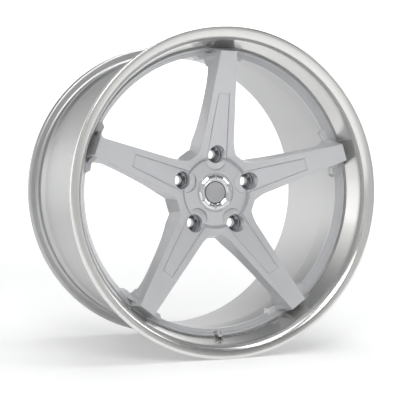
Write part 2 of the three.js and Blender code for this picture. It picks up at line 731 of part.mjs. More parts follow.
function makeStem() {
  return turned([
    [STEM_PASSAGE_RADIUS, STEM_BACK + STEM_FLANGE_HEIGHT],
    [STEM_PASSAGE_RADIUS, STEM_FRONT + STEM_BORE_DEPTH],
    [STEM_BORE_RADIUS, STEM_FRONT + STEM_BORE_DEPTH],
    [STEM_BORE_RADIUS, STEM_FRONT],
    [STEM_NECK_RADIUS - 0.4, STEM_FRONT],
    [STEM_NECK_RADIUS, STEM_FRONT + 0.4],
    [STEM_NECK_RADIUS, NECK_START],
    [STEM_RADIUS, NECK_START + 0.4],
    [STEM_RADIUS, STEM_BACK],
    [STEM_FLANGE_RADIUS, STEM_BACK],
    [STEM_FLANGE_RADIUS - 0.5, STEM_BACK + STEM_FLANGE_HEIGHT],
  ], SMALL_FACETS);
}

function makeWasher() {
  const inner = STEM_RADIUS + GAP;
  const outer = NUT_POCKET_RADIUS - 0.6;
  return turned([
    [inner, -TOUCH],
    [inner, -TOUCH - WASHER_THICKNESS],
    [outer, -TOUCH - WASHER_THICKNESS],
    [outer, -TOUCH],
  ], SMALL_FACETS);
}

function makeNut() {
  const back = -2 * TOUCH - WASHER_THICKNESS;
  const corner = NUT_ACROSS_FLATS / 2 / Math.cos(Math.PI / 6);
  const outline = (y) => Array.from({ length: 6 }, (unused, i) => {
    const angle = radians(60 * i);
    return new THREE.Vector3(corner * Math.cos(angle), y, corner * Math.sin(angle));
  });
  const block = lofted(outline(back - NUT_HEIGHT), outline(back), fromFront);
  const rounding = turned([
    [0, back - NUT_HEIGHT - 0.01],
    [corner - 0.9, back - NUT_HEIGHT - 0.01],
    [corner + 0.2, back - NUT_HEIGHT + 0.9],
    [corner + 0.2, back + 0.01],
    [0, back + 0.01],
  ], 24);
  const thread = bar(STEM_RADIUS + GAP, back - NUT_HEIGHT - 1, back + 1, SMALL_FACETS);
  return block.intersect(rounding).subtract(thread);
}

function makeGrommet() {
  const inner = STEM_RADIUS + GAP;
  return turned([
    [inner, 2],
    [VALVE_HOLE_RADIUS - GAP, 2],
    [VALVE_HOLE_RADIUS - GAP, VALVE_GRIP + TOUCH],
    [GROMMET_RADIUS, VALVE_GRIP + TOUCH],
    [GROMMET_RADIUS - 1, VALVE_GRIP + GROMMET_HEIGHT],
    [inner, VALVE_GRIP + GROMMET_HEIGHT],
  ], SMALL_FACETS);
}

function makeCoreBody() {
  return turned([
    [CORE_BORE_RADIUS, CORE_FRONT],
    [CORE_RADIUS, CORE_FRONT],
    [CORE_RADIUS, CORE_BACK - 2],
    [CORE_RADIUS - 0.5, CORE_BACK],
    [CORE_BORE_RADIUS, CORE_BACK],
  ], SMALL_FACETS);
}

// The pin passes right through the core body. Its rear disc closes the core, and its front end is
// what a gauge presses.
function makeCorePin() {
  const seal = CORE_BACK + TOUCH;
  return turned([
    [0, CORE_FRONT + 0.2],
    [PIN_HEAD_RADIUS, CORE_FRONT + 0.2],
    [PIN_HEAD_RADIUS, CORE_FRONT + 0.8],
    [PIN_RADIUS, CORE_FRONT + 0.8],
    [PIN_RADIUS, seal],
    [CORE_RADIUS - 0.4, seal],
    [CORE_RADIUS - 0.4, seal + 1.2],
    [0, seal + 1.2],
  ], 12);
}

// Coil spring round the pin, drawn as the sleeve that its turns fill.
function makeCoreSpring() {
  const inner = PIN_RADIUS + 0.12;
  const outer = inner + SPRING_WALL;
  const front = CORE_FRONT + 0.8 + TOUCH + PIN_TRAVEL;
  return turned([
    [inner, front],
    [outer, front],
    [outer, CORE_BACK - 1],
    [inner, CORE_BACK - 1],
  ], 12);
}

const CAP_SHELL_FRONT = STEM_FRONT - CAP_SEAL_THICKNESS - CAP_SHELL_TOP - 2 * TOUCH;

function makeValveCap() {
  const bore = STEM_NECK_RADIUS + GAP;
  const open = CAP_SHELL_FRONT + CAP_SHELL_LENGTH;
  return turned([
    [0, CAP_SHELL_FRONT],
    [CAP_SHELL_RADIUS - 1, CAP_SHELL_FRONT],
    [CAP_SHELL_RADIUS, CAP_SHELL_FRONT + 1],
    [CAP_SHELL_RADIUS, open],
    [bore, open],
    [bore, CAP_SHELL_FRONT + CAP_SHELL_TOP],
    [0, CAP_SHELL_FRONT + CAP_SHELL_TOP],
  ], 24);
}

function makeCapSeal() {
  const front = CAP_SHELL_FRONT + CAP_SHELL_TOP + TOUCH;
  return bar(STEM_NECK_RADIUS - 0.1, front, front + CAP_SEAL_THICKNESS, SMALL_FACETS);
}

// ---------------------------------------------------------------- finishes and assembly

function finish(colour, roughness, metalness) {
  return new THREE.MeshStandardMaterial({ color: colour, roughness, metalness });
}

const polished = finish(0xd4d3ce, 0.16, 1);
const silverPaint = finish(0xc3c5ca, 0.36, 0.7);
const steel = finish(0x8f9296, 0.34, 1);
const zincSteel = finish(0xa9aaa8, 0.4, 1);
const chrome = finish(0xd9dadb, 0.1, 1);
const satinGrey = finish(0x9c9d9e, 0.55, 0.4);
const springSteel = finish(0x7c7e80, 0.4, 1);
const blackPlastic = finish(0x232426, 0.6, 0);
const greyPlastic = finish(0x55575a, 0.6, 0);
const rubber = finish(0x1b1b1c, 0.8, 0);
const nickel = finish(0xc9c8c2, 0.25, 1);
const brass = finish(0xb08d4a, 0.35, 1);

function piece(name, solid, material) {
  const mesh = new THREE.Mesh(geometryOf(solid), material);
  mesh.name = name;
  return mesh;
}

const wheel = new THREE.Group();

wheel.add(piece('rim_barrel', makeBarrel(), polished));
wheel.add(piece('forged_centre', makeCentre(), silverPaint));

const assemblyBolt = makeAssemblyBolt();
assemblyBoltPlaces().forEach((place, i) => {
  const number = String(i + 1).padStart(2, '0');
  wheel.add(piece(`assembly_bolt_${number}`, moved(assemblyBolt, place), zincSteel));
});

ringOf(SPOKES, makeSeatInsert()).forEach((insert, i) => {
  wheel.add(piece(`bolt_seat_insert_${i + 1}`, insert, steel));
});

wheel.add(piece('hub_centring_ring', makeCentringRing(), greyPlastic));
wheel.add(piece('cap_body', makeCapBody(), blackPlastic));
wheel.add(piece('cap_bezel', makeCapBezel(), chrome));
wheel.add(piece('cap_emblem_disc', makeEmblemDisc(), satinGrey));
wheel.add(piece('cap_snap_ring', makeSnapRing(), springSteel));

valveGroup.add(piece('valve_stem', makeStem(), nickel));
valveGroup.add(piece('valve_washer', makeWasher(), steel));
valveGroup.add(piece('valve_nut', makeNut(), nickel));
valveGroup.add(piece('valve_grommet', makeGrommet(), rubber));
valveGroup.add(piece('valve_core_body', makeCoreBody(), brass));
valveGroup.add(piece('valve_core_pin', makeCorePin(), brass));
valveGroup.add(piece('valve_core_spring', makeCoreSpring(), springSteel));
valveGroup.add(piece('valve_cap', makeValveCap(), nickel));
valveGroup.add(piece('valve_cap_seal', makeCapSeal(), rubber));
wheel.add(valveGroup);

export default wheel;
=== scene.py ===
"""Looks of a forged two-piece wheel rim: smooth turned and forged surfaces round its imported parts.

Lengths in this file are in millimetres where a name or a comment doesn't say otherwise, and are
turned into metres when a mesh is made. The axle is the Y axis, with the street side toward -Y.
"""

import math

import bmesh
import bpy
import numpy as np
from mathutils import Matrix, Vector


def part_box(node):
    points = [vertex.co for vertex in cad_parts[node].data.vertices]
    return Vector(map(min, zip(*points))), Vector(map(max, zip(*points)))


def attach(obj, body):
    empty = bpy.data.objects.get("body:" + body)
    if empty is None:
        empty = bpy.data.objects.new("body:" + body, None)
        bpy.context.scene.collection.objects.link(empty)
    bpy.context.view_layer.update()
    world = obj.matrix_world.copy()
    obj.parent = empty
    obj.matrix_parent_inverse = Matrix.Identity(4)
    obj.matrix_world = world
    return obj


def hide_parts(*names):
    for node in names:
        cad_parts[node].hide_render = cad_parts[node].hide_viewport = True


bl_info = {
    "name": "Forged Wheel Rim",
    "version": (1, 0, 0),
    "blender": (4, 5, 0),
    "location": "View3D > Sidebar > Wheel",
    "description": "Makes the fine surfaces and finishes of a forged two-piece wheel rim",
    "category": "Object",
}

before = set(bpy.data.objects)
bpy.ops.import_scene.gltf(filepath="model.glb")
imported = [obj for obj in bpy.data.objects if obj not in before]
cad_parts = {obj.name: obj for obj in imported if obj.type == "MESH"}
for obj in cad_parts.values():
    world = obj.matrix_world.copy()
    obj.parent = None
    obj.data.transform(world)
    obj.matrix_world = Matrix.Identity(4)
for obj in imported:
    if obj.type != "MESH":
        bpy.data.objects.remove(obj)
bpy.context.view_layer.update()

MM = 0.001
SPOKES = 5

# Places that the solids fix
LOW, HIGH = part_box("rim_barrel")
FLANGE_RADIUS = HIGH.x / MM
FRONT_FACE = LOW.y / MM
REAR_FACE = HIGH.y / MM

# Barrel
FLANGE_THICKNESS = 11.0
HALF_INSIDE = REAR_FACE - FLANGE_THICKNESS
BEAD_SEAT = FLANGE_RADIUS - 17.5
SEAM = FRONT_FACE + 51.7
SEAT = SEAM + 21.0
POCKET_WALL = BEAD_SEAT - 12.0
WELL = BEAD_SEAT - 17.0
WELL_LENGTH = 28
INNER_WALL = WELL - 4.0
TAB_BACK = SEAT + 8.0

# Forged centre
RING_OUTER = POCKET_WALL - 0.3
RING_INNER = RING_OUTER - 11.1
RING_BACK = SEAT - 0.1
PAD_INNER = RING_INNER - 5.5
PAD_HALF_ANGLE = 11.4  # degrees
PAD_TAPER = 2  # degrees
FACE_START = 63.25
FACE_AT_HUB = SEAM + 15.0
SPOKE_END = RING_OUTER - 8.1
FACE_AT_END = SEAM - 28.9
MOUNT_FACE = SEAM + 53.0
SPOKE_INNER = 37.4  # inner end of a spoke, inside the hub
SPOKE_SHOULDER = 84  # where its straight sides turn out into the web
SPOKE_HALF_AT_HUB = 28.4
SPOKE_HALF_AT_END = 14.5
SPOKE_SLOPE = (SPOKE_HALF_AT_END - SPOKE_HALF_AT_HUB) / (SPOKE_END - SPOKE_SHOULDER)
SPOKE_DRAFT = 0.12
WEB_DISTANCE = 73.0
WEB_HALF_FLAT = 9.75
WEB_DRAFT = 0.2
DISC_RADIUS = 57.4
DISC = FACE_AT_HUB + 6.4
PANEL_HALF_INNER = 18.5
PANEL_HALF_OUTER = 10
PANEL_DEPTH_INNER = 2.9
PANEL_DEPTH_OUTER = 1.2

# Holes and bores
BOLT_CIRCLE = 65.2
BOLT_HOLE = 7.5
BOLT_POCKET = 15.3
POCKET_FLOOR = MOUNT_FACE - 9.0
BORE = 35.8
CENTRING_BORE = 33.3
BOLT_RING = PAD_INNER + 4.45
BOLTS_PER_SPOKE = 4
BOLT_SPACING = 5.2  # degrees
BOLT_CLEARANCE = 2.8
BOLT_SPOT = 4.9

# Centre cap
CAP_BACK = DISC + 2.1
CAP_FRONT = CAP_BACK - 4.6
CAP_CLIP = 29.5

# Tyre valve
VALVE_TILT = 15.0  # degrees
VALVE_SEAT = (0.0, SEAM + 10.5, -(BEAD_SEAT - 12.7))
STEM_RADIUS = 4.1
STEM_FRONT = -17.0


# ---- settings


class RimSizes(bpy.types.PropertyGroup):
    """Small sizes that only the looks depend on, in millimetres."""

    facets: bpy.props.IntProperty(
        name="Facets Round the Rim",
        description="How many facets the turned surfaces of the barrel have",
        default=320, min=64, max=512)
    edge: bpy.props.FloatProperty(
        name="Edge Break",
        description="Width of the broken edges of the forged centre, in millimetres",
        default=0.5, min=0.1, max=2.0)
    corner: bpy.props.FloatProperty(
        name="Corner Radius",
        description="Radius of the barrel's small outside corners, in millimetres",
        default=0.8, min=0.1, max=2.0)
    thread: bpy.props.FloatProperty(
        name="Thread Pitch",
        description="Pitch of the valve stem's thread, in millimetres",
        default=0.794, min=0.4, max=1.5)


class RimColours(bpy.types.PropertyGroup):
    """Colours of the finishes, linear red, green and blue."""

    polished: bpy.props.FloatVectorProperty(
        name="Polished Metal", description="Colour of the polished lip",
        subtype="COLOR", size=3, default=(0.79, 0.785, 0.765), min=0, max=1)
    satin: bpy.props.FloatVectorProperty(
        name="Satin Metal", description="Colour of the inside of the barrel",
        subtype="COLOR", size=3, default=(0.53, 0.53, 0.53), min=0, max=1)
    paint: bpy.props.FloatVectorProperty(
        name="Silver Paint", description="Colour of the centre's paint",
        subtype="COLOR", size=3, default=(0.61, 0.615, 0.63), min=0, max=1)
    floor: bpy.props.FloatVectorProperty(
        name="Floor", description="Colour of the studio floor",
        subtype="COLOR", size=3, default=(0.86, 0.86, 0.86), min=0, max=1)


def sizes():
    """The sizes as they are set now."""
    return bpy.context.scene.rim_sizes


def colours():
    """The colours as they are set now."""
    return bpy.context.scene.rim_colours


# ---- meshes


def new_mesh(name, points, faces):
    """An object from points in millimetres and faces as lists of point numbers."""
    mesh = bpy.data.meshes.new(name)
    mesh.from_pydata((np.asarray(points, float) * MM).tolist(), [], faces)
    mesh.validate()
    piece = bpy.data.objects.new(name, mesh)
    bpy.context.scene.collection.objects.link(piece)
    return piece


def grid_faces(rows, columns, close_rows, close_columns):
    """Quads of a grid of points, row after row, joined last to first where asked."""
    r = np.arange(rows if close_rows else rows - 1)
    c = np.arange(columns if close_columns else columns - 1)
    r, c = np.meshgrid(r, c, indexing="ij")
    r2, c2 = (r + 1) % rows, (c + 1) % columns
    quads = np.stack([r * columns + c, r * columns + c2, r2 * columns + c2, r2 * columns + c], -1)
    return quads.reshape(-1, 4)


def surface(name, points, close_rows, close_columns, caps=False):
    """A grid of points (rows, columns, 3) as a mesh. Caps close the first and last rows flat."""
    rows, columns = points.shape[:2]
    faces = grid_faces(rows, columns, close_rows, close_columns).tolist()
    if caps:
        faces.append(list(range(columns)))
        faces.append(list(range((rows - 1) * columns, rows * columns))[::-1])
    piece = new_mesh(name, points.reshape(-1, 3), faces)
    face_out(piece)
    return piece


def face_out(piece):
    """Merges points that meet and turns every face of a closed mesh outward."""
    work = bmesh.new()
    work.from_mesh(piece.data)
    bmesh.ops.remove_doubles(work, verts=work.verts, dist=1e-7)
    bmesh.ops.dissolve_degenerate(work, edges=work.edges, dist=1e-7)
    bmesh.ops.recalc_face_normals(work, faces=work.faces)
    if work.calc_volume(signed=True) < 0:
        bmesh.ops.reverse_faces(work, faces=work.faces)
    work.to_mesh(piece.data)
    work.free()


def around(count):
    """Evenly spaced angles once round, without the last one."""
    return np.linspace(0, 2 * math.pi, count, endpoint=False)


def about_axis(r, y, a):
    """Points at radius r, height y and angle a about the Y axis: x = r sin a, z = r cos a."""
    return np.stack([r * np.sin(a), y + 0 * a, r * np.cos(a)], -1)


def turned(name, profile, facets):
    """A profile of (radius, y) turned about the Y axis. A profile that doesn't touch the axis at
    both ends is closed on itself."""
    profile = np.asarray(profile, float)
    points = about_axis(profile[:, 0][:, None], profile[:, 1][:, None], around(facets))
    solid = profile[0, 0] < 1e-6 and profile[-1, 0] < 1e-6
    return surface(name, points, not solid, True)


def rounded(corners, steps=5):
    """A closed outline from corners (a, b, radius), each corner replaced by a circular arc: the
    arc's centre lies on the bisector and touches both sides."""
    made = []
    count = len(corners)
    for i in range(count):
        here = np.array(corners[i][:2], float)
        radius = corners[i][2] if len(corners[i]) > 2 else 0
        before = np.array(corners[i - 1][:2], float) - here
        after = np.array(corners[(i + 1) % count][:2], float) - here
        la, lb = np.linalg.norm(before), np.linalg.norm(after)
        if radius <= 0 or la < 1e-6 or lb < 1e-6:
            made.append(here)
            continue
        before, after = before / la, after / lb
        half = math.acos(np.clip(before @ after, -1, 1)) / 2
        if half > math.pi / 2 - 0.02:
            made.append(here)
            continue
        reach = min(radius / math.tan(half), 0.49 * la, 0.49 * lb)
        radius = reach * math.tan(half)
        middle = (before + after) / np.linalg.norm(before + after)
        centre = here + middle * (radius / math.sin(half))
        start = here + before * reach - centre
        end = here + after * reach - centre
        a0 = math.atan2(start[1], start[0])
        turn = math.atan2(end[1], end[0]) - a0
        turn = (turn + math.pi) % (2 * math.pi) - math.pi
        n = max(2, int(math.ceil(steps * abs(turn) / (math.pi / 2))) + 1)
        a = a0 + turn * np.linspace(0, 1, n)
        made.extend(centre + radius * np.stack([np.cos(a), np.sin(a)], -1))
    return np.array(made)


def lofted(name, first, second):
    """Two outlines of as many points, joined by walls and closed by flat caps."""
    points = np.stack([np.asarray(first, float), np.asarray(second, float)])
    return surface(name, points, False, True, caps=True)


def bar(name, radius, low, high, facets, z=0.0):
    """A round bar along Y, between two heights, with its own axis at a distance z up."""
    ring = about_axis(radius, 0, around(facets)) + [0, 0, z]
    return lofted(name, ring + [0, low, 0], ring + [0, high, 0])


def spin(degrees):
    """The turn that carries the upward spoke clockwise by an angle."""
    return Matrix.Rotation(math.radians(degrees), 4, "Y")


def spoke_turns():
    """A turn for each spoke."""
    return [spin(360 / SPOKES * k) for k in range(SPOKES)]


def bolt_turns():
    """A turn for each assembly bolt, in a group behind each spoke."""
    middle = (BOLTS_PER_SPOKE - 1) / 2
    return [spin(360 / SPOKES * k + BOLT_SPACING * (n - middle))
            for k in range(SPOKES) for n in range(BOLTS_PER_SPOKE)]


def copies(piece, turns):
    """A copy of a piece for each turn. The piece itself is removed."""
    made = []
    for turn in turns:
        copy = bpy.data.objects.new(piece.name, piece.data.copy())
        bpy.context.scene.collection.objects.link(copy)
        copy.data.transform(turn)
        made.append(copy)
    drop(piece)
    return made


def drop(piece):
    """Removes a piece, and its mesh when nothing else uses it."""
    data = piece.data
    bpy.data.objects.remove(piece)
    if data.users == 0:
        bpy.data.meshes.remove(data)


def merge(pieces):
    """Pieces that don't touch, as one mesh."""
    first = pieces[0]
    work = bmesh.new()
    for piece in pieces:
        work.from_mesh(piece.data)
    work.to_mesh(first.data)
    work.free()
    for piece in pieces[1:]:
        drop(piece)
    return first


def combine(target, others, operation):
    """Joins others to a closed mesh or cuts them from it, one after the other."""
    for other in others:
        work = target.modifiers.new("combine", "BOOLEAN")
        work.operation = operation
        work.solver = "MANIFOLD"
        work.object = other
        apply_modifiers(target)
        drop(other)
    if not target.data.polygons:
        raise RuntimeError(f"{target.name} has no surface left")
    return target


def apply_modifiers(piece):
    """Puts the result of a piece's modifiers into its mesh."""
    graph = bpy.context.evaluated_depsgraph_get()
    graph.update()
    mesh = bpy.data.meshes.new_from_object(piece.evaluated_get(graph))
    old = piece.data
    piece.modifiers.clear()
    piece.data = mesh
    bpy.data.meshes.remove(old)


def smooth(piece, degrees):
    """Shades a piece smooth, with edges sharper than an angle left crisp."""
    piece.data.shade_smooth()
    piece.data.set_sharp_from_angle(angle=math.radians(degrees))


def break_edges(piece, width, degrees):
    """Breaks edges sharper than an angle with narrow rounded strips, and evens the normals beside
    them."""
    bevel = piece.modifiers.new("edges", "BEVEL")
    bevel.width = width * MM
    bevel.segments = 2
    bevel.limit_method = "ANGLE"
    bevel.angle_limit = math.radians(degrees)
    bevel.use_clamp_overlap = True
    bevel.harden_normals = True
    bevel.miter_outer = "MITER_ARC"


def placed(piece, name, body, slot, node):
    """Names a finished piece, gives it its finish, and lets it stand for its solid."""
    piece.name = name
    piece.data.name = name
    piece.data.materials.clear()
    piece.data.materials.append(finish(slot))
    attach(piece, body)
    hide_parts(node)


# ---- finishes


def group(name, inputs, outputs):
    """An empty shader node group that takes a vector and named numbers and puts out named
    numbers, and its two end nodes."""
    tree = bpy.data.node_groups.new(name, "ShaderNodeTree")
    tree.interface.new_socket("Vector", in_out="INPUT", socket_type="NodeSocketVector")
    for label, value in inputs.items():
        made = tree.interface.new_socket(label, in_out="INPUT", socket_type="NodeSocketFloat")
        made.default_value = value
    for label in outputs:
        tree.interface.new_socket(label, in_out="OUTPUT", socket_type="NodeSocketFloat")
    return tree, tree.nodes.new("NodeGroupInput"), tree.nodes.new("NodeGroupOutput")


def feed(tree, value, socket):
    """Links an output to a socket, or sets the socket to a number or a colour."""
    if isinstance(value, bpy.types.NodeSocket):
        tree.links.new(value, socket)
    elif isinstance(value, (int, float)):
        socket.default_value = value
    else:
        socket.default_value = (*value[:3], 1)


def maths(tree, operation, *values):
    """A Math node whose inputs are links or numbers. Returns its output."""
    node = tree.nodes.new("ShaderNodeMath")
    node.operation = operation
    for i, value in enumerate(values):
        feed(tree, value, node.inputs[i])
    return node.outputs[0]


def mixed(tree, factor, a, b):
    """A colour mix whose inputs are links, numbers or colours. Returns its output."""
    node = tree.nodes.new("ShaderNodeMix")
    node.data_type = "RGBA"
    for i, value in ((0, factor), (6, a), (7, b)):
        feed(tree, value, node.inputs[i])
    return node.outputs[2]


def noise(tree, vector, scale, detail, roughness):
    """Noise on a vector, with a number or a link for its scale. Returns its value."""
    node = tree.nodes.new("ShaderNodeTexNoise")
    for label, value in (("Vector", vector), ("Scale", scale), ("Detail", detail),
                         ("Roughness", roughness)):
        feed(tree, value, node.inputs[label])
    return node.outputs[0]


def ranged(tree, value, low, high, to_low, to_high, kind):
    """From to_low to to_high as a value goes from low to high. Returns its output."""
    node = tree.nodes.new("ShaderNodeMapRange")
    node.interpolation_type = kind
    for label, number in (("From Min", low), ("From Max", high), ("To Min", to_low),
                          ("To Max", to_high), ("Value", value)):
        feed(tree, number, node.inputs[label])
    return node.outputs[0]


def step(tree, value, low, high):
    """0 below low and 1 above high, smooth between."""
    return ranged(tree, value, low, high, 0, 1, "SMOOTHSTEP")


def split(tree, vector):
    """The x, y and z of a vector."""
    node = tree.nodes.new("ShaderNodeSeparateXYZ")
    tree.links.new(vector, node.inputs[0])
    return node.outputs


def distance_from_axle(tree, x, z):
    """The root of x squared plus z squared."""
    return maths(tree, "SQRT", maths(tree, "ADD", maths(tree, "MULTIPLY", x, x),
                                     maths(tree, "MULTIPLY", z, z)))


def turning_marks():
    """Fine rings left by a lathe tool: noise along the radius and the axle, drawn out round the
    axle. Puts out a height and a mask for roughness."""
    tree, entry, end = group("Turning Marks", {"Pitch": 0.0006}, ("Height", "Mask"))
    x, y, z = split(tree, entry.outputs["Vector"])
    radius = distance_from_axle(tree, x, z)
    place = maths(tree, "DIVIDE", maths(tree, "MULTIPLY_ADD", y, 0.73, radius),
                  entry.outputs["Pitch"])
    angle = maths(tree, "ARCTAN2", x, z)
    both = tree.nodes.new("ShaderNodeCombineXYZ")
    tree.links.new(place, both.inputs[0])
    tree.links.new(angle, both.inputs[1])
    fine = noise(tree, both.outputs[0], 1.0, 2.0, 0.6)
    broad = noise(tree, both.outputs[0], 0.09, 2.0, 0.5)
    tree.links.new(fine, end.inputs["Height"])
    tree.links.new(maths(tree, "MULTIPLY_ADD", broad, 0.6, maths(tree, "MULTIPLY", fine, 0.4)),
                   end.inputs["Mask"])
    return tree


def mottle():
    """Slow unevenness of a finish with a little fine grain. Puts out a mask and a height."""
    tree, entry, end = group("Mottle", {"Broad": 14.0, "Fine": 900.0}, ("Mask", "Height"))
    vector = entry.outputs["Vector"]
    for scale, detail, label in (("Broad", 4.0, "Mask"), ("Fine", 2.0, "Height")):
        tree.links.new(noise(tree, vector, entry.outputs[scale], detail, 0.5), end.inputs[label])
    return tree


def start_material(name):
    """A material with its Principled shader, and the Object coordinates that patterns read."""
    material = bpy.data.materials.new(name)
    material.use_nodes = True
    tree = material.node_tree
    shader = tree.nodes["Principled BSDF"]
    coordinates = tree.nodes.new("ShaderNodeTexCoord").outputs["Object"]
    return material, tree, shader, coordinates


def place_group(tree, name, maker, coordinates, **values):
    """A shared group in a material, with its own values. The group is made the first time."""
    node = tree.nodes.new("ShaderNodeGroup")
    node.node_tree = bpy.data.node_groups.get(name) or maker()
    tree.links.new(coordinates, node.inputs["Vector"])
    for label, value in values.items():
        node.inputs[label].default_value = value
    return node


def bump(tree, shader, height, distance, strength):
    """A fine relief on the shader's normal. The distance is in metres."""
    node = tree.nodes.new("ShaderNodeBump")
    node.inputs["Distance"].default_value = distance
    node.inputs["Strength"].default_value = strength
    tree.links.new(height, node.inputs["Height"])
    tree.links.new(node.outputs[0], shader.inputs["Normal"])


def roughness_between(tree, shader, mask, low, high):
    """Roughness from low to high as a mask goes from 0.25 to 0.75."""
    tree.links.new(ranged(tree, mask, 0.25, 0.75, low, high, "LINEAR"),
                   shader.inputs["Roughness"])


def barrel_finish():
    """Polished aluminium on the street side of the seam, satin inside and on the tyre side."""
    material, tree, shader, place = start_material("Polished and satin aluminium")
    shader.inputs["Metallic"].default_value = 1.0
    marks = place_group(tree, "Turning Marks", turning_marks, place, Pitch=0.0007)
    cloud = place_group(tree, "Mottle", mottle, place, Broad=9.0, Fine=700.0)
    x, y, z = split(tree, place)
    radius = distance_from_axle(tree, x, z)
    behind = step(tree, y, (SEAM - 0.5) * MM, (SEAM + 0.5) * MM)
    tyre = maths(tree, "MULTIPLY", step(tree, radius, (BEAD_SEAT - 3.2) * MM,
                                        (BEAD_SEAT - 2.9) * MM),
                 step(tree, y, (FRONT_FACE + 6.5) * MM, (FRONT_FACE + 7.5) * MM))
    satin = maths(tree, "MAXIMUM", behind, tyre)
    tint = mixed(tree, maths(tree, "MULTIPLY", cloud.outputs["Mask"], 0.25),
                 colours().polished, (0.73, 0.72, 0.69))
    dull = mixed(tree, maths(tree, "MULTIPLY", cloud.outputs["Mask"], 0.35),
                 colours().satin, (0.46, 0.46, 0.465))
    tree.links.new(mixed(tree, satin, tint, dull), shader.inputs["Base Color"])
    shine = maths(tree, "MULTIPLY_ADD", marks.outputs["Mask"], 0.14, 0.15)
    matt = maths(tree, "MULTIPLY_ADD", marks.outputs["Mask"], 0.16, 0.30)
    rough = tree.nodes.new("ShaderNodeMix")
    rough.data_type = "FLOAT"
    tree.links.new(satin, rough.inputs[0])
    tree.links.new(shine, rough.inputs[2])
    tree.links.new(matt, rough.inputs[3])
    tree.links.new(rough.outputs[0], shader.inputs["Roughness"])
    height = maths(tree, "MULTIPLY", marks.outputs["Height"],
                   maths(tree, "MULTIPLY_ADD", satin, 0.8, 0.2))
    bump(tree, shader, height, 0.00003, 0.6)
    return material


def paint_finish():
    """Silver wheel paint under clear lacquer: fine flake, and a slow unevenness of its gloss."""
    material, tree, shader, place = start_material("Silver wheel paint")
    shader.inputs["Metallic"].default_value = 0.3
    shader.inputs["Coat Weight"].default_value = 0.5
    shader.inputs["Coat Roughness"].default_value = 0.06
    cloud = place_group(tree, "Mottle", mottle, place, Broad=12.0, Fine=2600.0)
    flake = maths(tree, "MULTIPLY_ADD", cloud.outputs["Height"], 0.5,
                  maths(tree, "MULTIPLY", cloud.outputs["Mask"], 0.5))
    dark = tuple(0.86 * c for c in colours().paint)
    light = tuple(min(1.0, 1.08 * c) for c in colours().paint)
    tree.links.new(mixed(tree, flake, dark, light), shader.inputs["Base Color"])
    roughness_between(tree, shader, cloud.outputs["Mask"], 0.30, 0.40)
    bump(tree, shader, cloud.outputs["Height"], 0.00001, 0.5)
    return material


def metal_finish(name, colour, low, high):
    """Turned or plated metal with fine rings, and a roughness from low to high."""
    material, tree, shader, place = start_material(name)
    shader.inputs["Metallic"].default_value = 1.0
    marks = place_group(tree, "Turning Marks", turning_marks, place, Pitch=0.0004)
    dark = tuple(0.85 * c for c in colour)
    tree.links.new(mixed(tree, marks.outputs["Mask"], dark, colour), shader.inputs["Base Color"])
    roughness_between(tree, shader, marks.outputs["Mask"], low, high)
    bump(tree, shader, marks.outputs["Height"], 0.00002, 0.5)
    return material


def moulded_finish(name, colour, low, high):
    """Moulded plastic or rubber with a fine grain, and a roughness from low to high."""
    material, tree, shader, place = start_material(name)
    cloud = place_group(tree, "Mottle", mottle, place, Broad=40.0, Fine=2200.0)
    light = tuple(min(1.0, 1.35 * c) for c in colour)
    tree.links.new(mixed(tree, cloud.outputs["Mask"], colour, light), shader.inputs["Base Color"])
    roughness_between(tree, shader, cloud.outputs["Mask"], low, high)
    bump(tree, shader, cloud.outputs["Height"], 0.00004, 0.6)
    return material


# Each slot's maker, and its values: name, colour, and the lowest and highest roughness
FINISHES = {
    "polished_barrel": (barrel_finish,),
    "silver_paint": (paint_finish,),
    "zinc_steel": (metal_finish, "Zinc-plated steel", (0.56, 0.56, 0.53), 0.28, 0.42),
    "steel": (metal_finish, "Machined steel", (0.42, 0.43, 0.45), 0.16, 0.28),
    "spring_steel": (metal_finish, "Spring wire", (0.36, 0.37, 0.38), 0.25, 0.4),
    "nickel_plate": (metal_finish, "Nickel plate", (0.80, 0.79, 0.77), 0.22, 0.34),
    "chrome_trim": (metal_finish, "Bright trim", (0.80, 0.81, 0.82), 0.10, 0.18),
    "satin_grey": (moulded_finish, "Satin grey lacquer", (0.34, 0.34, 0.345), 0.3, 0.42),
    "black_plastic": (moulded_finish, "Black moulding", (0.02, 0.02, 0.022), 0.4, 0.55),
    "grey_nylon": (moulded_finish, "Grey nylon", (0.10, 0.10, 0.11), 0.45, 0.6),
    "rubber": (moulded_finish, "Black rubber", (0.018, 0.018, 0.018), 0.6, 0.8),
    "brass": (metal_finish, "Turned brass", (0.62, 0.45, 0.18), 0.2, 0.35),
}
MADE = {}


def finish(slot):
    """The material of a slot, made the first time that it is asked for."""
    if slot not in MADE:
        maker, *values = FINISHES[slot]
        MADE[slot] = maker(*values)
    return MADE[slot]


# ---- shapes of the wheel


def face_y(v):
    """Height of the spokes' sloping face plane at a distance v from the axle."""
    return FACE_AT_HUB + (v - FACE_START) / (SPOKE_END - FACE_START) * (FACE_AT_END - FACE_AT_HUB)


def sector(name, inner, outer, low, high):
    """A piece of a ring about the axle behind the upward spoke, between two arcs. Its ends lean in
    from the outer to the inner one."""
    def arc(radius, half):
        return about_axis(radius, 0, np.radians(np.linspace(-half, half, 24)))
    outline = np.concatenate([arc(outer, PAD_HALF_ANGLE),
                              arc(inner, PAD_HALF_ANGLE - PAD_TAPER)[::-1]])
    return lofted(name, outline + [0, low, 0], outline + [0, high, 0])


def on_valve_axis(piece):
    """Moves a piece from the valve's own frame, whose origin is on the nut seat, to its place."""
    tilt = Matrix.Rotation(math.radians(-VALVE_TILT), 4, "X")
    piece.data.transform(Matrix.Translation(Vector(VALVE_SEAT) * MM) @ tilt)
    return piece


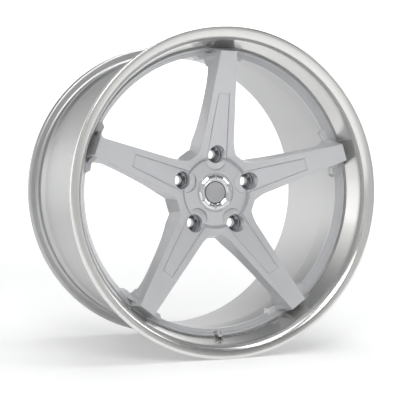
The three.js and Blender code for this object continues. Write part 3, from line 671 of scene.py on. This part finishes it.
def valve_hole():
    """Three bars on one axis: the nut's pocket, the stem's hole and the air side's clearance."""
    return [on_valve_axis(bar("cut", radius, low, high, 64))
            for radius, low, high in ((7.0, -60, 0), (5.65, -1, 16), (9.0, 15, 45))]


def make_barrel():
    """The barrel's section turned about the axle, with tabs, bolt holes and the valve hole. The
    section is a closed line of corners (radius, y, corner radius): along the tyre side from the
    street to the car, and back along the inside."""
    corner, bead, flange, h = sizes().corner, BEAD_SEAT, FLANGE_RADIUS, HALF_INSIDE
    start, end = SEAT + 14, HALF_INSIDE - 33
    mouth, lip = bead - 4.0, bead - 5.6
    half = FLANGE_THICKNESS / 2
    edge, pocket = half - 0.1, POCKET_WALL + 8.5
    section = [
        (flange, -h, edge), (bead, -h, 6), (bead - 1, -h + 18, 4), (bead + 0.6, -h + 21.5, 5),
        (bead - 1.5, -h + 26, 4), (pocket, SEAM + 4, 8), (pocket, SEAT + 2, 3),
        (WELL, start, 6), (WELL, start + WELL_LENGTH, 20), (bead - 5, end, 20),
        (bead - 1.5, end + 7, 4), (bead + 0.6, h - 21.5, 5), (bead - 1, h - 18, 4), (bead, h, 6),
        (flange, h, edge), (flange, REAR_FACE, edge), (flange - half - 4, REAR_FACE - 0.9, 2),
        (mouth + 4.5, h, 10), (mouth, h - 8.5, 10), (mouth - 1.2, end + 4, 3),
        (mouth - 4.4, end + 1, 2), (INNER_WALL, start + WELL_LENGTH, 20),
        (INNER_WALL, SEAT, corner), (POCKET_WALL, SEAT, 0.5), (POCKET_WALL, SEAM + 1.0, 0.4),
        (POCKET_WALL + 1.0, SEAM, 0.4), (lip + 0.6, -h + 9, 14), (lip + 2.2, -h + 2.4, 8),
        (lip + 5.4, -h - 4, 8), (lip + 10.2, -h - 8.8, 8), (flange - half, FRONT_FACE, 6),
        (flange, FRONT_FACE, edge)]
    barrel = turned("rim_barrel_surface", rounded(section, 7), sizes().facets)
    tab = sector("tab", PAD_INNER - 0.5, WELL - 1, SEAT, TAB_BACK)
    combine(barrel, copies(tab, spoke_turns()), "UNION")
    for radius, low, high in ((BOLT_CLEARANCE, SEAT - 1, TAB_BACK + 1),
                              (BOLT_SPOT, TAB_BACK, TAB_BACK + 9)):
        hole = bar("cut", radius, low, high, 40, BOLT_RING)
        combine(barrel, [merge(copies(hole, bolt_turns()))], "DIFFERENCE")
    combine(barrel, valve_hole(), "DIFFERENCE")
    smooth(barrel, 35)
    return barrel


def window_corner():
    """Half width and distance of the corners at the inner end of each window."""
    reach = math.hypot(WEB_HALF_FLAT, WEB_DISTANCE)
    angle = math.radians(180 / SPOKES) - math.atan2(WEB_HALF_FLAT, WEB_DISTANCE)
    return reach * math.sin(angle), reach * math.cos(angle)


def make_spoke():
    """The upward spoke: a tapering plan that widens by the draft for each mm behind the face, cut
    to the outline that the spoke has from the side."""
    u, v = window_corner()
    tip, inner, face_w = RING_OUTER - 1.2, SPOKE_INNER, SPOKE_HALF_AT_HUB
    side = np.array([(u, inner), (u, v), ((u + face_w) / 2 - 0.6, (v + SPOKE_SHOULDER) / 2),
                     (face_w, SPOKE_SHOULDER), (SPOKE_HALF_AT_END, SPOKE_END),
                     (SPOKE_HALF_AT_END + SPOKE_SLOPE * (tip - SPOKE_END), tip)])

    def outline(y):
        w = side[:, 0] + SPOKE_DRAFT * (y - face_y(side[:, 1]))
        right = np.stack([w, 0 * w + y, side[:, 1]], -1)
        left = right * [-1, 1, 1]
        return np.concatenate([left, right[::-1]])

    plan = lofted("spoke", outline(FACE_AT_END - 5), outline(MOUNT_FACE + 5))
    t = np.array([0.13, 0.28, 0.45, 0.63, 0.81, 0.95])
    reach = FACE_START + t * (RING_INNER - FACE_START)
    back = face_y(reach) + np.array([43.8, 35, 30.5, 29, 31.5, 42])
    reach, back = np.append(reach, RING_INNER + 1), np.append(back, RING_BACK)
    curve = catmull(np.stack([reach, back], -1), 40)
    curve[:, 1] = np.minimum(curve[:, 1], MOUNT_FACE - 0.5)
    profile = np.array([(inner, face_y(inner)), (SPOKE_END, FACE_AT_END), (tip, SEAM + 1.0),
                        (tip, RING_BACK), *curve[::-1], (inner, MOUNT_FACE - 0.5)])
    outline = np.stack([0 * profile[:, 0], profile[:, 1], profile[:, 0]], -1)
    return combine(plan, [lofted("side", outline - [60, 0, 0], outline + [60, 0, 0])], "INTERSECT")


def make_flare():
    """The sweep that carries a spoke's sides out into the ring: a quarter ellipse in plan, widest
    at the back and gone toward the front."""
    flare_reach, flare_height, flare_width = 14, 34, 12

    def outline(y, width):
        a = np.radians(np.linspace(0, 90, 17))
        v = PAD_INNER + 0.5 - flare_reach * (1 - np.sin(a))
        w = (SPOKE_HALF_AT_HUB + SPOKE_SLOPE * (v - SPOKE_SHOULDER) + SPOKE_DRAFT * (y - face_y(v))
             - 0.4 + width * (1 - np.cos(a)))
        side = np.append(np.stack([w, 0 * w + y, v], -1), [[w[-1], y, PAD_INNER + 7]], 0)
        return np.concatenate([side, side[::-1] * [-1, 1, 1]])

    return lofted("flare", outline(RING_BACK - flare_height, 0.2), outline(RING_BACK, flare_width))


def catmull(points, count):
    """A smooth curve through points, each stretch a cubic set by its neighbours."""
    points = np.asarray(points, float)
    padded = np.concatenate([points[:1], points, points[-1:]])
    t = np.linspace(0, len(points) - 1, count)
    i = np.minimum(t.astype(int), len(points) - 2)
    f = (t - i)[:, None]
    p0, p1, p2, p3 = padded[i], padded[i + 1], padded[i + 2], padded[i + 3]
    return 0.5 * (2 * p1 + (p2 - p0) * f + (2 * p0 - 5 * p1 + 4 * p2 - p3) * f ** 2
                  + (3 * p1 - p0 - 3 * p2 + p3) * f ** 3)


def make_hub():
    """A ten-cornered block, wider at the back: two corners at the inner end of each window, a
    small angle off its middle, at the flat's distance divided by that angle's cosine."""
    off = math.atan2(WEB_HALF_FLAT, WEB_DISTANCE) * np.tile([-1, 1], SPOKES)
    a = np.radians(360 / SPOKES * (np.repeat(np.arange(SPOKES), 2) + 0.5)) + off

    def outline(y, distance):
        return about_axis(distance / np.cos(off), y, a)

    back = WEB_DISTANCE + WEB_DRAFT * (MOUNT_FACE - FACE_AT_HUB)
    return lofted("hub", outline(FACE_AT_HUB, WEB_DISTANCE), outline(MOUNT_FACE, back))


def panel_outline(drop_by, out, reach):
    """A closed line round a spoke's panel: half a circle at the hub end and straight tapering
    sides. It lies below the panel's floor by drop_by, outside its sides by out, and beyond its
    outer end by reach."""
    middle, end = BOLT_CIRCLE - 8.7, SPOKE_END - 69.5
    a = np.radians(np.linspace(180, 360, 49))
    r = PANEL_HALF_INNER + out
    half = PANEL_HALF_OUTER + out
    points = np.concatenate([np.stack([r * np.cos(a), middle + r * np.sin(a)], -1),
                             [[half, end + reach], [-half, end + reach]]])
    t = (points[:, 1] - DISC_RADIUS) / (end - DISC_RADIUS)
    y = (face_y(points[:, 1]) + PANEL_DEPTH_INNER + t * (PANEL_DEPTH_OUTER - PANEL_DEPTH_INNER)
         + drop_by)
    return np.stack([points[:, 0], y, points[:, 1]], -1)


def panel_cutters():
    """The recess in a spoke's face, with a floor that gets deeper toward the hub and a ramp at its
    outer end, and the fine groove that the cutter leaves round the floor."""
    above, ramp = 6, 5.4
    recess = lofted("panel", panel_outline(-above, 1.2, ramp * above), panel_outline(0, 0, 0))
    groove = lofted("groove", panel_outline(-0.6, 0.1, 0.1), panel_outline(0.8, -0.1, -0.1))
    core = lofted("core", panel_outline(-2, -0.9, -0.9), panel_outline(2, -0.9, -0.9))
    return recess, combine(groove, [core], "DIFFERENCE")


def make_centre():
    """Hub, ring, spokes and pads joined, then turned, milled and bored."""
    turns = spoke_turns()
    centre = make_hub()
    ring = turned("ring", [(RING_INNER, SEAM + 15.5), (RING_OUTER - 5.6, SEAM + 6.0),
                           (RING_OUTER - 5.2, SEAM + 6.3), (RING_OUTER - 4.7, SEAM + 4.5),
                           (RING_OUTER - 1.9, SEAM - 0.4), (RING_OUTER - 1.3, SEAM + 1.9),
                           (RING_OUTER, SEAM + 2.1), (RING_OUTER, RING_BACK),
                           (RING_INNER, RING_BACK)], 240)
    pad = sector("pad", PAD_INNER, RING_INNER + 5, SEAM + 10.5, RING_BACK)
    for made in (copies(make_spoke(), turns), copies(make_flare(), turns), [ring],
                 copies(pad, turns)):
        combine(centre, made, "UNION")
    top, disc, recess, bore = FACE_AT_END - 10, DISC_RADIUS, 33.3, 30.5
    turning = turned("cut", [
        (0, top), (disc + 5.2, top), (disc + 5.2, FACE_AT_HUB - 0.2), (disc + 3, DISC),
        (disc + 2.6, DISC + 2.4), (disc, DISC + 2.4), (disc - 0.4, DISC), (35, DISC - 1.2),
        (recess, DISC - 1.2), (recess, DISC + 2.2), (bore, DISC + 2.2), (bore, MOUNT_FACE - 5),
        (0, MOUNT_FACE - 5)], 160)
    combine(centre, [turning], "DIFFERENCE")
    for cutter in panel_cutters():
        combine(centre, copies(cutter, turns), "DIFFERENCE")
    combine(centre, [bar("cut", BORE, MOUNT_FACE - 14, MOUNT_FACE + 10, 128)], "DIFFERENCE")
    for radius, low, high, facets in ((BOLT_POCKET, FACE_AT_END, POCKET_FLOOR, 72),
                                      (BOLT_HOLE, POCKET_FLOOR - 1, MOUNT_FACE + 1, 48)):
        hole = bar("cut", radius, low, high, facets, BOLT_CIRCLE)
        combine(centre, copies(hole, turns), "DIFFERENCE")
    tapped = bar("cut", BOLT_CLEARANCE, RING_BACK - 9.5, RING_BACK + 1, 32, BOLT_RING)
    combine(centre, [merge(copies(tapped, bolt_turns()))], "DIFFERENCE")
    combine(centre, valve_hole(), "DIFFERENCE")
    crease = 24
    smooth(centre, crease)
    break_edges(centre, sizes().edge, crease)
    return centre


def flutes(a, depth):
    """How far 24 flutes lower a radius at angle a: depth times (1 - cos 24 a) / 2."""
    return depth * (1 - np.cos(24 * a)) / 2


def hexagon(a):
    """The radius of a hexagon at angle a, where its flats are at a distance of 1."""
    return 1 / np.cos((a % (math.pi / 3)) - math.pi / 6)


def make_assembly_bolt():
    """Socket-head bolt: rings of a round shank, of a fluted head, and of a six-sided socket."""
    under = TAB_BACK + 0.1
    top = under + 5
    tip = RING_BACK - 8
    a = around(72)
    six, grip = hexagon(a), 0.12
    rows = [(0, tip, 1, 0), (2.1, tip, 1, 0), (2.5, tip + 0.4, 1, 0), (2.5, under, 1, 0),
            (4.0, under, 1, 0), (4.25, under + 0.25, 1, grip), (4.25, top - 0.7, 1, grip),
            (3.8, top - 0.12, 1, 0), (3.6, top, 1, 0), (2.4, top, 1, 0), (2.0, top - 0.25, six, 0),
            (2.0, top - 2.5, six, 0), (0, top - 2.9, six, 0)]
    rings = [about_axis(radius * form - flutes(a, depth), y, a) for radius, y, form, depth in rows]
    bolt = surface("bolt", np.array(rings) + [0, 0, BOLT_RING], False, True)
    smooth(bolt, 35)
    return bolt


def make_seat_insert():
    """A cup with a rounded rim, and a cone that the wheel bolt seats on."""
    floor = POCKET_FLOOR - 0.1
    top = floor - 10
    section = rounded([(7.9, floor, 0.2), (15, floor, 0.4), (15, top, 0.9), (12.4, top, 0.7),
                       (12.4, top + 2, 0.5), (7.9, floor - 2, 0.4)], 6)
    insert = turned("insert", section, 96)
    smooth(insert, 40)
    insert.data.transform(Matrix.Translation((0, 0, BOLT_CIRCLE * MM)))
    return insert


def make_cap_pieces():
    """Body, bezel, emblem disc and snap ring of the centre cap."""
    plate, groove, back = CAP_BACK - 1.6, CAP_BACK + 9, CAP_BACK + 13
    section = rounded([(0, plate), (32.4, plate, 0.4), (32.4, CAP_BACK, 0.3),
                       (CAP_CLIP, CAP_BACK, 0.3), (CAP_CLIP, groove - 1.6), (27.9, groove - 1.6),
                       (27.9, groove), (CAP_CLIP, groove), (CAP_CLIP, back - 1, 0.6),
                       (28.5, back, 0.6), (26.5, back, 0.4), (26.5, CAP_BACK + 1, 1),
                       (0, CAP_BACK + 1)], 5)
    body = turned("cap", section, 128)
    rest = plate - 0.1
    bezel = make_bezel(CAP_FRONT, rest)
    front = rest - 1.6
    t = np.linspace(0, 1, 14)
    disc = np.concatenate([np.stack([17.4 * t, front - 0.5 * (1 - t ** 2)], -1),
                           [(17.7, front + 0.12), (17.9, front + 0.45), (17.9, rest), (0, rest)]])
    disc = turned("disc", disc, 128)
    wire = make_snap_ring(groove)
    for piece, crease in ((body, 35), (bezel, 9), (disc, 35), (wire, 35)):
        smooth(piece, crease)
    return body, bezel, disc, wire


def make_bezel(front, rest):
    """A ring whose face has twelve flats, with six notches: between its two edges the radius at
    angle a is multiplied by cos(15) / cos(a mod 30 - 15), in degrees."""
    section = rounded([(33, rest, 0.2), (33, front + 1.8, 0.4), (31.6, front + 1.8, 0.3),
                       (31.2, front + 2.3), (30.6, front + 2.3), (30.3, front + 1.7),
                       (26.8, front, 0.3), (24.6, front, 0.3), (22.4, front + 1.1),
                       (21.9, front + 0.8), (21.2, front + 0.8), (19.4, front + 1.6, 0.3),
                       (19.4, rest, 0.2)], 6)
    a = around(192)
    flat = math.cos(math.pi / 12) / np.cos(a % (math.pi / 6) - math.pi / 12)
    r, y = section[:, 0][:, None], section[:, 1][:, None]
    r = np.where((r < 30.7) & (r > 19.8) & (y < rest - 0.3), r * flat, r)
    bezel = surface("bezel", about_axis(r, y, a), True, True)

    def outline(y, low_half, high_half, low, high):
        return [(-low_half, y, low), (low_half, y, low), (high_half, y, high),
                (-high_half, y, high)]

    notch = lofted("cut", outline(front - 1, 1.2, 1.7, 21.2, 31.8),
                   outline(front + 1.6, 0.8, 1.3, 21.4, 31.6))
    return combine(bezel, copies(notch, [spin(60 * k) for k in range(6)]), "DIFFERENCE")


def make_snap_ring(groove):
    """A round wire bent to a ring that is open at the top: r = 29.15 + 0.68 cos b."""
    a = np.radians(np.linspace(8, 352, 120))[:, None]
    b = around(14)
    wire = about_axis(29.15 + 0.68 * np.cos(b), groove - 0.8 + 0.68 * np.sin(b), a)
    return surface("wire", wire, False, True, caps=True)


# The valve's pieces are made in the valve's own frame: y is along the stem, from the nut seat.


def make_stem():
    """A threaded tube with a flange: r = size - 0.32 ridge(y / pitch - a / 2 pi), where the ridge
    rises and falls evenly once a turn, and a cone takes its front down."""
    front, back = STEM_FRONT, 15 + 3.4 + 0.1
    neck = front + 7
    a = around(64)
    y = np.concatenate([np.linspace(front, neck, 72), np.linspace(neck + 0.3, 2, 120),
                        [2.5, back, back + 0.001]])[:, None]
    size = np.where(y < neck + 0.1, 3.75, STEM_RADIUS)
    phase = (y / sizes().thread - a / (2 * math.pi)) % 1
    ridge = (1 - np.abs(2 * phase - 1)) * np.where(y < 2, 1, 0)
    cone = np.maximum(0, 0.5 - (y - front))
    wall = about_axis(size - np.maximum(0.32 * ridge, cone), y, a)
    tail = [(6.8, back), (7, back + 0.3), (6.8, back + 2.2), (6.3, back + 2.5), (1.3, back + 2.5),
            (1.3, front + 15), (2.6, front + 15), (2.6, front)]
    tail = np.array([about_axis(radius, height, a) for radius, height in tail])
    return surface("stem", np.concatenate([wall, tail]), True, True)


def make_nut():
    """A hexagon 11 across its flats, each ring of it cut to a radius that rounds the corners."""
    low, high = -6.2, -1.2
    a = around(64)
    outside = [(low, 5.4), (low + 0.25, 5.75), (low + 0.9, 6.6), (high - 0.9, 6.6),
               (high - 0.25, 5.75), (high, 5.4)]
    inside = [(high, 4.8), (high - 0.4, 4.4), (low + 0.4, 4.4), (low, 4.8)]
    rings = [about_axis(np.minimum(5.5 * hexagon(a), limit), y, a) for y, limit in outside]
    rings += [about_axis(radius, y, a) for y, radius in inside]
    return surface("nut", np.array(rings), True, True)


def make_core_pieces():
    """Body, pin and spring of the valve core. The spring is a wire of radius 0.16 carried along a
    helix of five turns and radius 0.9."""
    core, end = STEM_FRONT + 1.6, STEM_FRONT + 10.6
    body = turned("core", rounded([(1.3, core, 0.1), (2.2, core, 0.2), (2.2, end - 2, 0.2),
                                   (1.7, end, 0.2), (1.3, end, 0.1)], 4), 48)
    seal = end + 0.1
    pin = turned("pin", [(0, core + 0.15), (0.85, core + 0.2), (1, core + 0.35), (1, core + 0.8),
                         (0.6, core + 0.8), (0.6, seal), (1.7, seal), (1.8, seal + 0.1),
                         (1.8, seal + 1.1), (1.7, seal + 1.2), (0, seal + 1.2)], 32)
    low, high = core + 0.8 + 0.1 + 1.5, end - 1
    s = np.linspace(0, 1, 160)
    out = about_axis(1, 0, 2 * math.pi * 5 * s)
    along = 0.9 * out
    along[:, 1] = low + 0.2 + (high - low - 0.4) * s
    b = around(10)[None, :, None]
    coil = along[:, None] + 0.16 * (np.cos(b) * out[:, None] + np.sin(b) * np.array([0, 1, 0]))
    return body, pin, surface("spring", coil, False, True, caps=True)


def make_valve_cap():
    """The screwed cap, with a fluted grip, and the seal disc inside it."""
    shell, mouth = STEM_FRONT - 1 - 1.8 - 0.2, STEM_FRONT - 3.0 + 9.5
    grip = 0.32
    rows = [(0, shell, 0), (3.6, shell, 0), (4.3, shell + 0.15, 0), (4.8, shell + 0.6, 0),
            (4.95, shell + 1.2, 0), (4.95, shell + 1.6, grip), (4.95, mouth - 1.3, grip),
            (4.95, mouth - 1.0, 0), (4.95, mouth - 0.2, 0), (4.8, mouth, 0), (4.15, mouth, 0),
            (4.05, mouth - 0.2, 0), (4.05, shell + 1.8, 0), (0, shell + 1.8, 0)]
    a = around(144)
    rings = [about_axis(radius - flutes(a, depth), y, a) for radius, y, depth in rows]
    cap = surface("cap", np.array(rings), False, True)
    low = shell + 1.9
    disc = turned("seal", [(0, low), (3.5, low), (3.65, low + 0.15), (3.65, low + 0.85),
                           (3.5, low + 1), (0, low + 1)], 48)
    return cap, disc


def make_valve_pieces():
    """All the valve's pieces, in their places."""
    washer = rounded([(4.4, -0.1, 0.1), (4.4, -1.1, 0.1), (6.4, -1.1, 0.25), (6.4, -0.1, 0.25)], 4)
    grommet = rounded([(4.4, 2, 0.2), (5.35, 2, 0.5), (5.35, 15.1, 0.3), (8, 15.1, 0.5),
                       (7, 18.4, 0.8), (4.4, 18.4, 0.3)], 5)
    made = [make_stem(), turned("washer", washer, 64), make_nut(), turned("grommet", grommet, 64),
            *make_core_pieces(), *make_valve_cap()]
    for piece in made:
        smooth(piece, 35)
        on_valve_axis(piece)
    return made


# ---- operators


class WHEEL_OT_barrel(bpy.types.Operator):
    """Makes the barrel with its polished lip"""

    bl_idname = "wheel.barrel"
    bl_label = "Barrel"

    def execute(self, context):
        placed(make_barrel(), "barrel", "rim", "polished_barrel", "rim_barrel")
        return {"FINISHED"}


class WHEEL_OT_centre(bpy.types.Operator):
    """Makes the forged five-spoke centre"""

    bl_idname = "wheel.centre"
    bl_label = "Forged Centre"

    def execute(self, context):
        placed(make_centre(), "centre", "rim", "silver_paint", "forged_centre")
        return {"FINISHED"}


class WHEEL_OT_bolts(bpy.types.Operator):
    """Makes the twenty bolts that hold the centre in the barrel"""

    bl_idname = "wheel.bolts"
    bl_label = "Assembly Bolts"

    def execute(self, context):
        for i, bolt in enumerate(copies(make_assembly_bolt(), bolt_turns())):
            placed(bolt, f"socket_bolt_{i + 1:02d}", "rim", "zinc_steel",
                   f"assembly_bolt_{i + 1:02d}")
        return {"FINISHED"}


class WHEEL_OT_inserts(bpy.types.Operator):
    """Makes the steel seats at the bottom of the wheel-bolt pockets"""

    bl_idname = "wheel.inserts"
    bl_label = "Bolt Seats"

    def execute(self, context):
        for i, insert in enumerate(copies(make_seat_insert(), spoke_turns())):
            placed(insert, f"seat_insert_{i + 1}", "rim", "steel", f"bolt_seat_insert_{i + 1}")
        return {"FINISHED"}


class WHEEL_OT_centring(bpy.types.Operator):
    """Makes the centring ring in the back of the hub bore"""

    bl_idname = "wheel.centring"
    bl_label = "Centring Ring"

    def execute(self, context):
        front, back = MOUNT_FACE - 10, MOUNT_FACE - 0.5
        section = rounded([(CENTRING_BORE, front, 0.3), (35.5, front, 0.8), (35.5, back, 0.4),
                           (CENTRING_BORE, back, 0.9)], 5)
        ring = turned("ring", section, 160)
        smooth(ring, 35)
        placed(ring, "centring_ring", "rim", "grey_nylon", "hub_centring_ring")
        return {"FINISHED"}


class WHEEL_OT_cap(bpy.types.Operator):
    """Makes the centre cap"""

    bl_idname = "wheel.cap"
    bl_label = "Centre Cap"

    def execute(self, context):
        slots = ("black_plastic", "chrome_trim", "satin_grey", "spring_steel")
        names = ("cap_cup", "cap_ring", "cap_disc", "cap_wire")
        nodes = ("cap_body", "cap_bezel", "cap_emblem_disc", "cap_snap_ring")
        for piece, name, slot, node in zip(make_cap_pieces(), names, slots, nodes):
            placed(piece, name, "centre_cap", slot, node)
        return {"FINISHED"}


class WHEEL_OT_valve(bpy.types.Operator):
    """Makes the tyre valve with its core and cap"""

    bl_idname = "wheel.valve"
    bl_label = "Tyre Valve"

    def execute(self, context):
        plan = (("stem", "rim", "nickel_plate", "valve_stem"),
                ("washer", "rim", "steel", "valve_washer"),
                ("nut", "rim", "nickel_plate", "valve_nut"),
                ("grommet", "rim", "rubber", "valve_grommet"),
                ("core", "rim", "brass", "valve_core_body"),
                ("core_pin_turned", "core_pin", "brass", "valve_core_pin"),
                ("core_coil", "rim", "spring_steel", "valve_core_spring"),
                ("screw_cap", "valve_cap_shell", "nickel_plate", "valve_cap"),
                ("screw_cap_seal", "valve_cap_travel", "rubber", "valve_cap_seal"))
        for piece, (name, body, slot, node) in zip(make_valve_pieces(), plan):
            placed(piece, "air_" + name, body, slot, node)
        return {"FINISHED"}


class WHEEL_OT_stage(bpy.types.Operator):
    """Makes the studio floor, the lights and the camera"""

    bl_idname = "wheel.stage"
    bl_label = "Stage"

    def execute(self, context):
        make_floor()
        make_world(context.scene)
        make_lights(context.scene)
        make_camera(context.scene)
        return {"FINISHED"}


def make_floor():
    """A round floor that curves up into a low wall: height is 0 to a radius of 5 m, then a quarter
    circle of 2 m radius. It glows more with distance, and less toward the street side."""
    flat, curve, facets = 5, 2, 128
    a = np.radians(np.linspace(0, 90, 16))[1:]
    r = np.concatenate([[0.001, 1, 2, 3, 4, flat], flat + curve * np.sin(a)])
    z = np.concatenate([np.zeros(6), curve - curve * np.cos(a)])
    t = around(facets)
    points = np.stack([r[:, None] * np.sin(t), r[:, None] * np.cos(t),
                       z[:, None] + 0 * t + LOW.z], -1) / MM
    floor = new_mesh("studio_floor", points.reshape(-1, 3),
                     grid_faces(len(r), facets, False, True).tolist())
    floor.data.shade_smooth()
    material, tree, shader, place = start_material("Studio floor")
    cloud = place_group(tree, "Mottle", mottle, place, Broad=3.0, Fine=60.0)
    tree.links.new(mixed(tree, maths(tree, "MULTIPLY", cloud.outputs["Mask"], 0.04),
                         colours().floor, (0.80, 0.80, 0.80)), shader.inputs["Base Color"])
    shader.inputs["Roughness"].default_value = 0.9
    length = tree.nodes.new("ShaderNodeVectorMath")
    length.operation = "LENGTH"
    tree.links.new(place, length.inputs[0])
    glow = mixed(tree, step(tree, length.outputs["Value"], 0.6, 4.0), (0.36, 0.36, 0.36),
                 (1.0, 1.0, 1.0))
    inward = step(tree, split(tree, place)[1], -2.5, 1.0)
    tree.links.new(mixed(tree, inward, (0.12, 0.12, 0.12), glow), shader.inputs["Emission Color"])
    shader.inputs["Emission Strength"].default_value = 0.8
    floor.data.materials.append(material)


def make_world(scene):
    """A pale studio whose light falls off toward the ceiling and toward the street side."""
    world = bpy.data.worlds.new("Studio")
    scene.world = world
    world.use_nodes = True
    tree = world.node_tree
    x, y, z = split(tree, tree.nodes.new("ShaderNodeTexCoord").outputs["Generated"])
    upward = step(tree, z, 0.22, 0.75)
    inward = step(tree, y, -0.9, 0.3)
    walls = mixed(tree, inward, (0.30, 0.30, 0.30), (1.0, 1.0, 1.0))
    tree.links.new(mixed(tree, upward, walls, (0.20, 0.205, 0.215)),
                   tree.nodes["Background"].inputs["Color"])
    scene.view_settings.view_transform = "Standard"


def make_lights(scene):
    """Soft panels above, at the front left and at the right."""
    for name, place, size, power in (
            ("overhead", (0.2, -0.1, 2.4), 1.7, 29),
            ("front", (-1.1, -2.3, 2.1), 1.6, 38),
            ("side", (2.2, -0.8, 1.2), 0.8, 5)):
        light = bpy.data.lights.new(name, "AREA")
        light.size = size
        light.energy = power
        lamp = bpy.data.objects.new(name, light)
        lamp.location = place
        lamp.rotation_mode = "QUATERNION"
        lamp.rotation_quaternion = (Vector(place)).to_track_quat("Z", "Y")
        scene.collection.objects.link(lamp)


def make_camera(scene):
    """A long lens nearly level with the axle and to the left of it, with the wheel turned a little
    in the frame."""
    azimuth, elevation = math.radians(-22.784), math.radians(1.70)
    distance, aside, below = 1711.8, -3.883, 15.139
    back = Vector((math.sin(azimuth) * math.cos(elevation),
                   -math.cos(azimuth) * math.cos(elevation), math.sin(elevation)))
    right = (-back).cross(Vector((0, 0, 1))).normalized()
    up = right.cross(-back)
    place = (-aside * right - below * up + distance * back) * MM
    basis = Matrix((right, up, back)).transposed()
    turn = Matrix.Rotation(math.radians(-0.84), 3, "Y")
    camera = bpy.data.cameras.new("camera")
    camera.sensor_width = 36
    camera.lens = 86.1732
    camera.clip_start, camera.clip_end = 0.05, 60
    eye = bpy.data.objects.new("camera", camera)
    eye.matrix_world = Matrix.Translation(turn @ place) @ (turn @ basis).to_4x4()
    scene.collection.objects.link(eye)
    scene.camera = eye


class WHEEL_PT_panel(bpy.types.Panel):
    """Lists the wheel's settings and steps"""

    bl_label = "Forged Wheel Rim"
    bl_idname = "WHEEL_PT_panel"
    bl_space_type = "VIEW_3D"
    bl_region_type = "UI"
    bl_category = "Wheel"

    def draw(self, context):
        column = self.layout.column()
        for settings in (context.scene.rim_sizes, context.scene.rim_colours):
            for name in settings.bl_rna.properties.keys():
                if name not in ("rna_type", "name"):
                    column.prop(settings, name)
        for operator in STEPS:
            column.operator(operator.bl_idname)


STEPS = (WHEEL_OT_barrel, WHEEL_OT_centre, WHEEL_OT_bolts, WHEEL_OT_inserts, WHEEL_OT_centring,
         WHEEL_OT_cap, WHEEL_OT_valve, WHEEL_OT_stage)
CLASSES = (RimSizes, RimColours, *STEPS, WHEEL_PT_panel)


def register():
    for made in CLASSES:
        bpy.utils.register_class(made)
    bpy.types.Scene.rim_sizes = bpy.props.PointerProperty(type=RimSizes)
    bpy.types.Scene.rim_colours = bpy.props.PointerProperty(type=RimColours)


def unregister():
    del bpy.types.Scene.rim_sizes
    del bpy.types.Scene.rim_colours
    for made in reversed(CLASSES):
        bpy.utils.unregister_class(made)


def main():
    register()
    for operator in STEPS:
        space, name = operator.bl_idname.split(".")
        getattr(getattr(bpy.ops, space), name)()


if __name__ == "__main__":
    main()
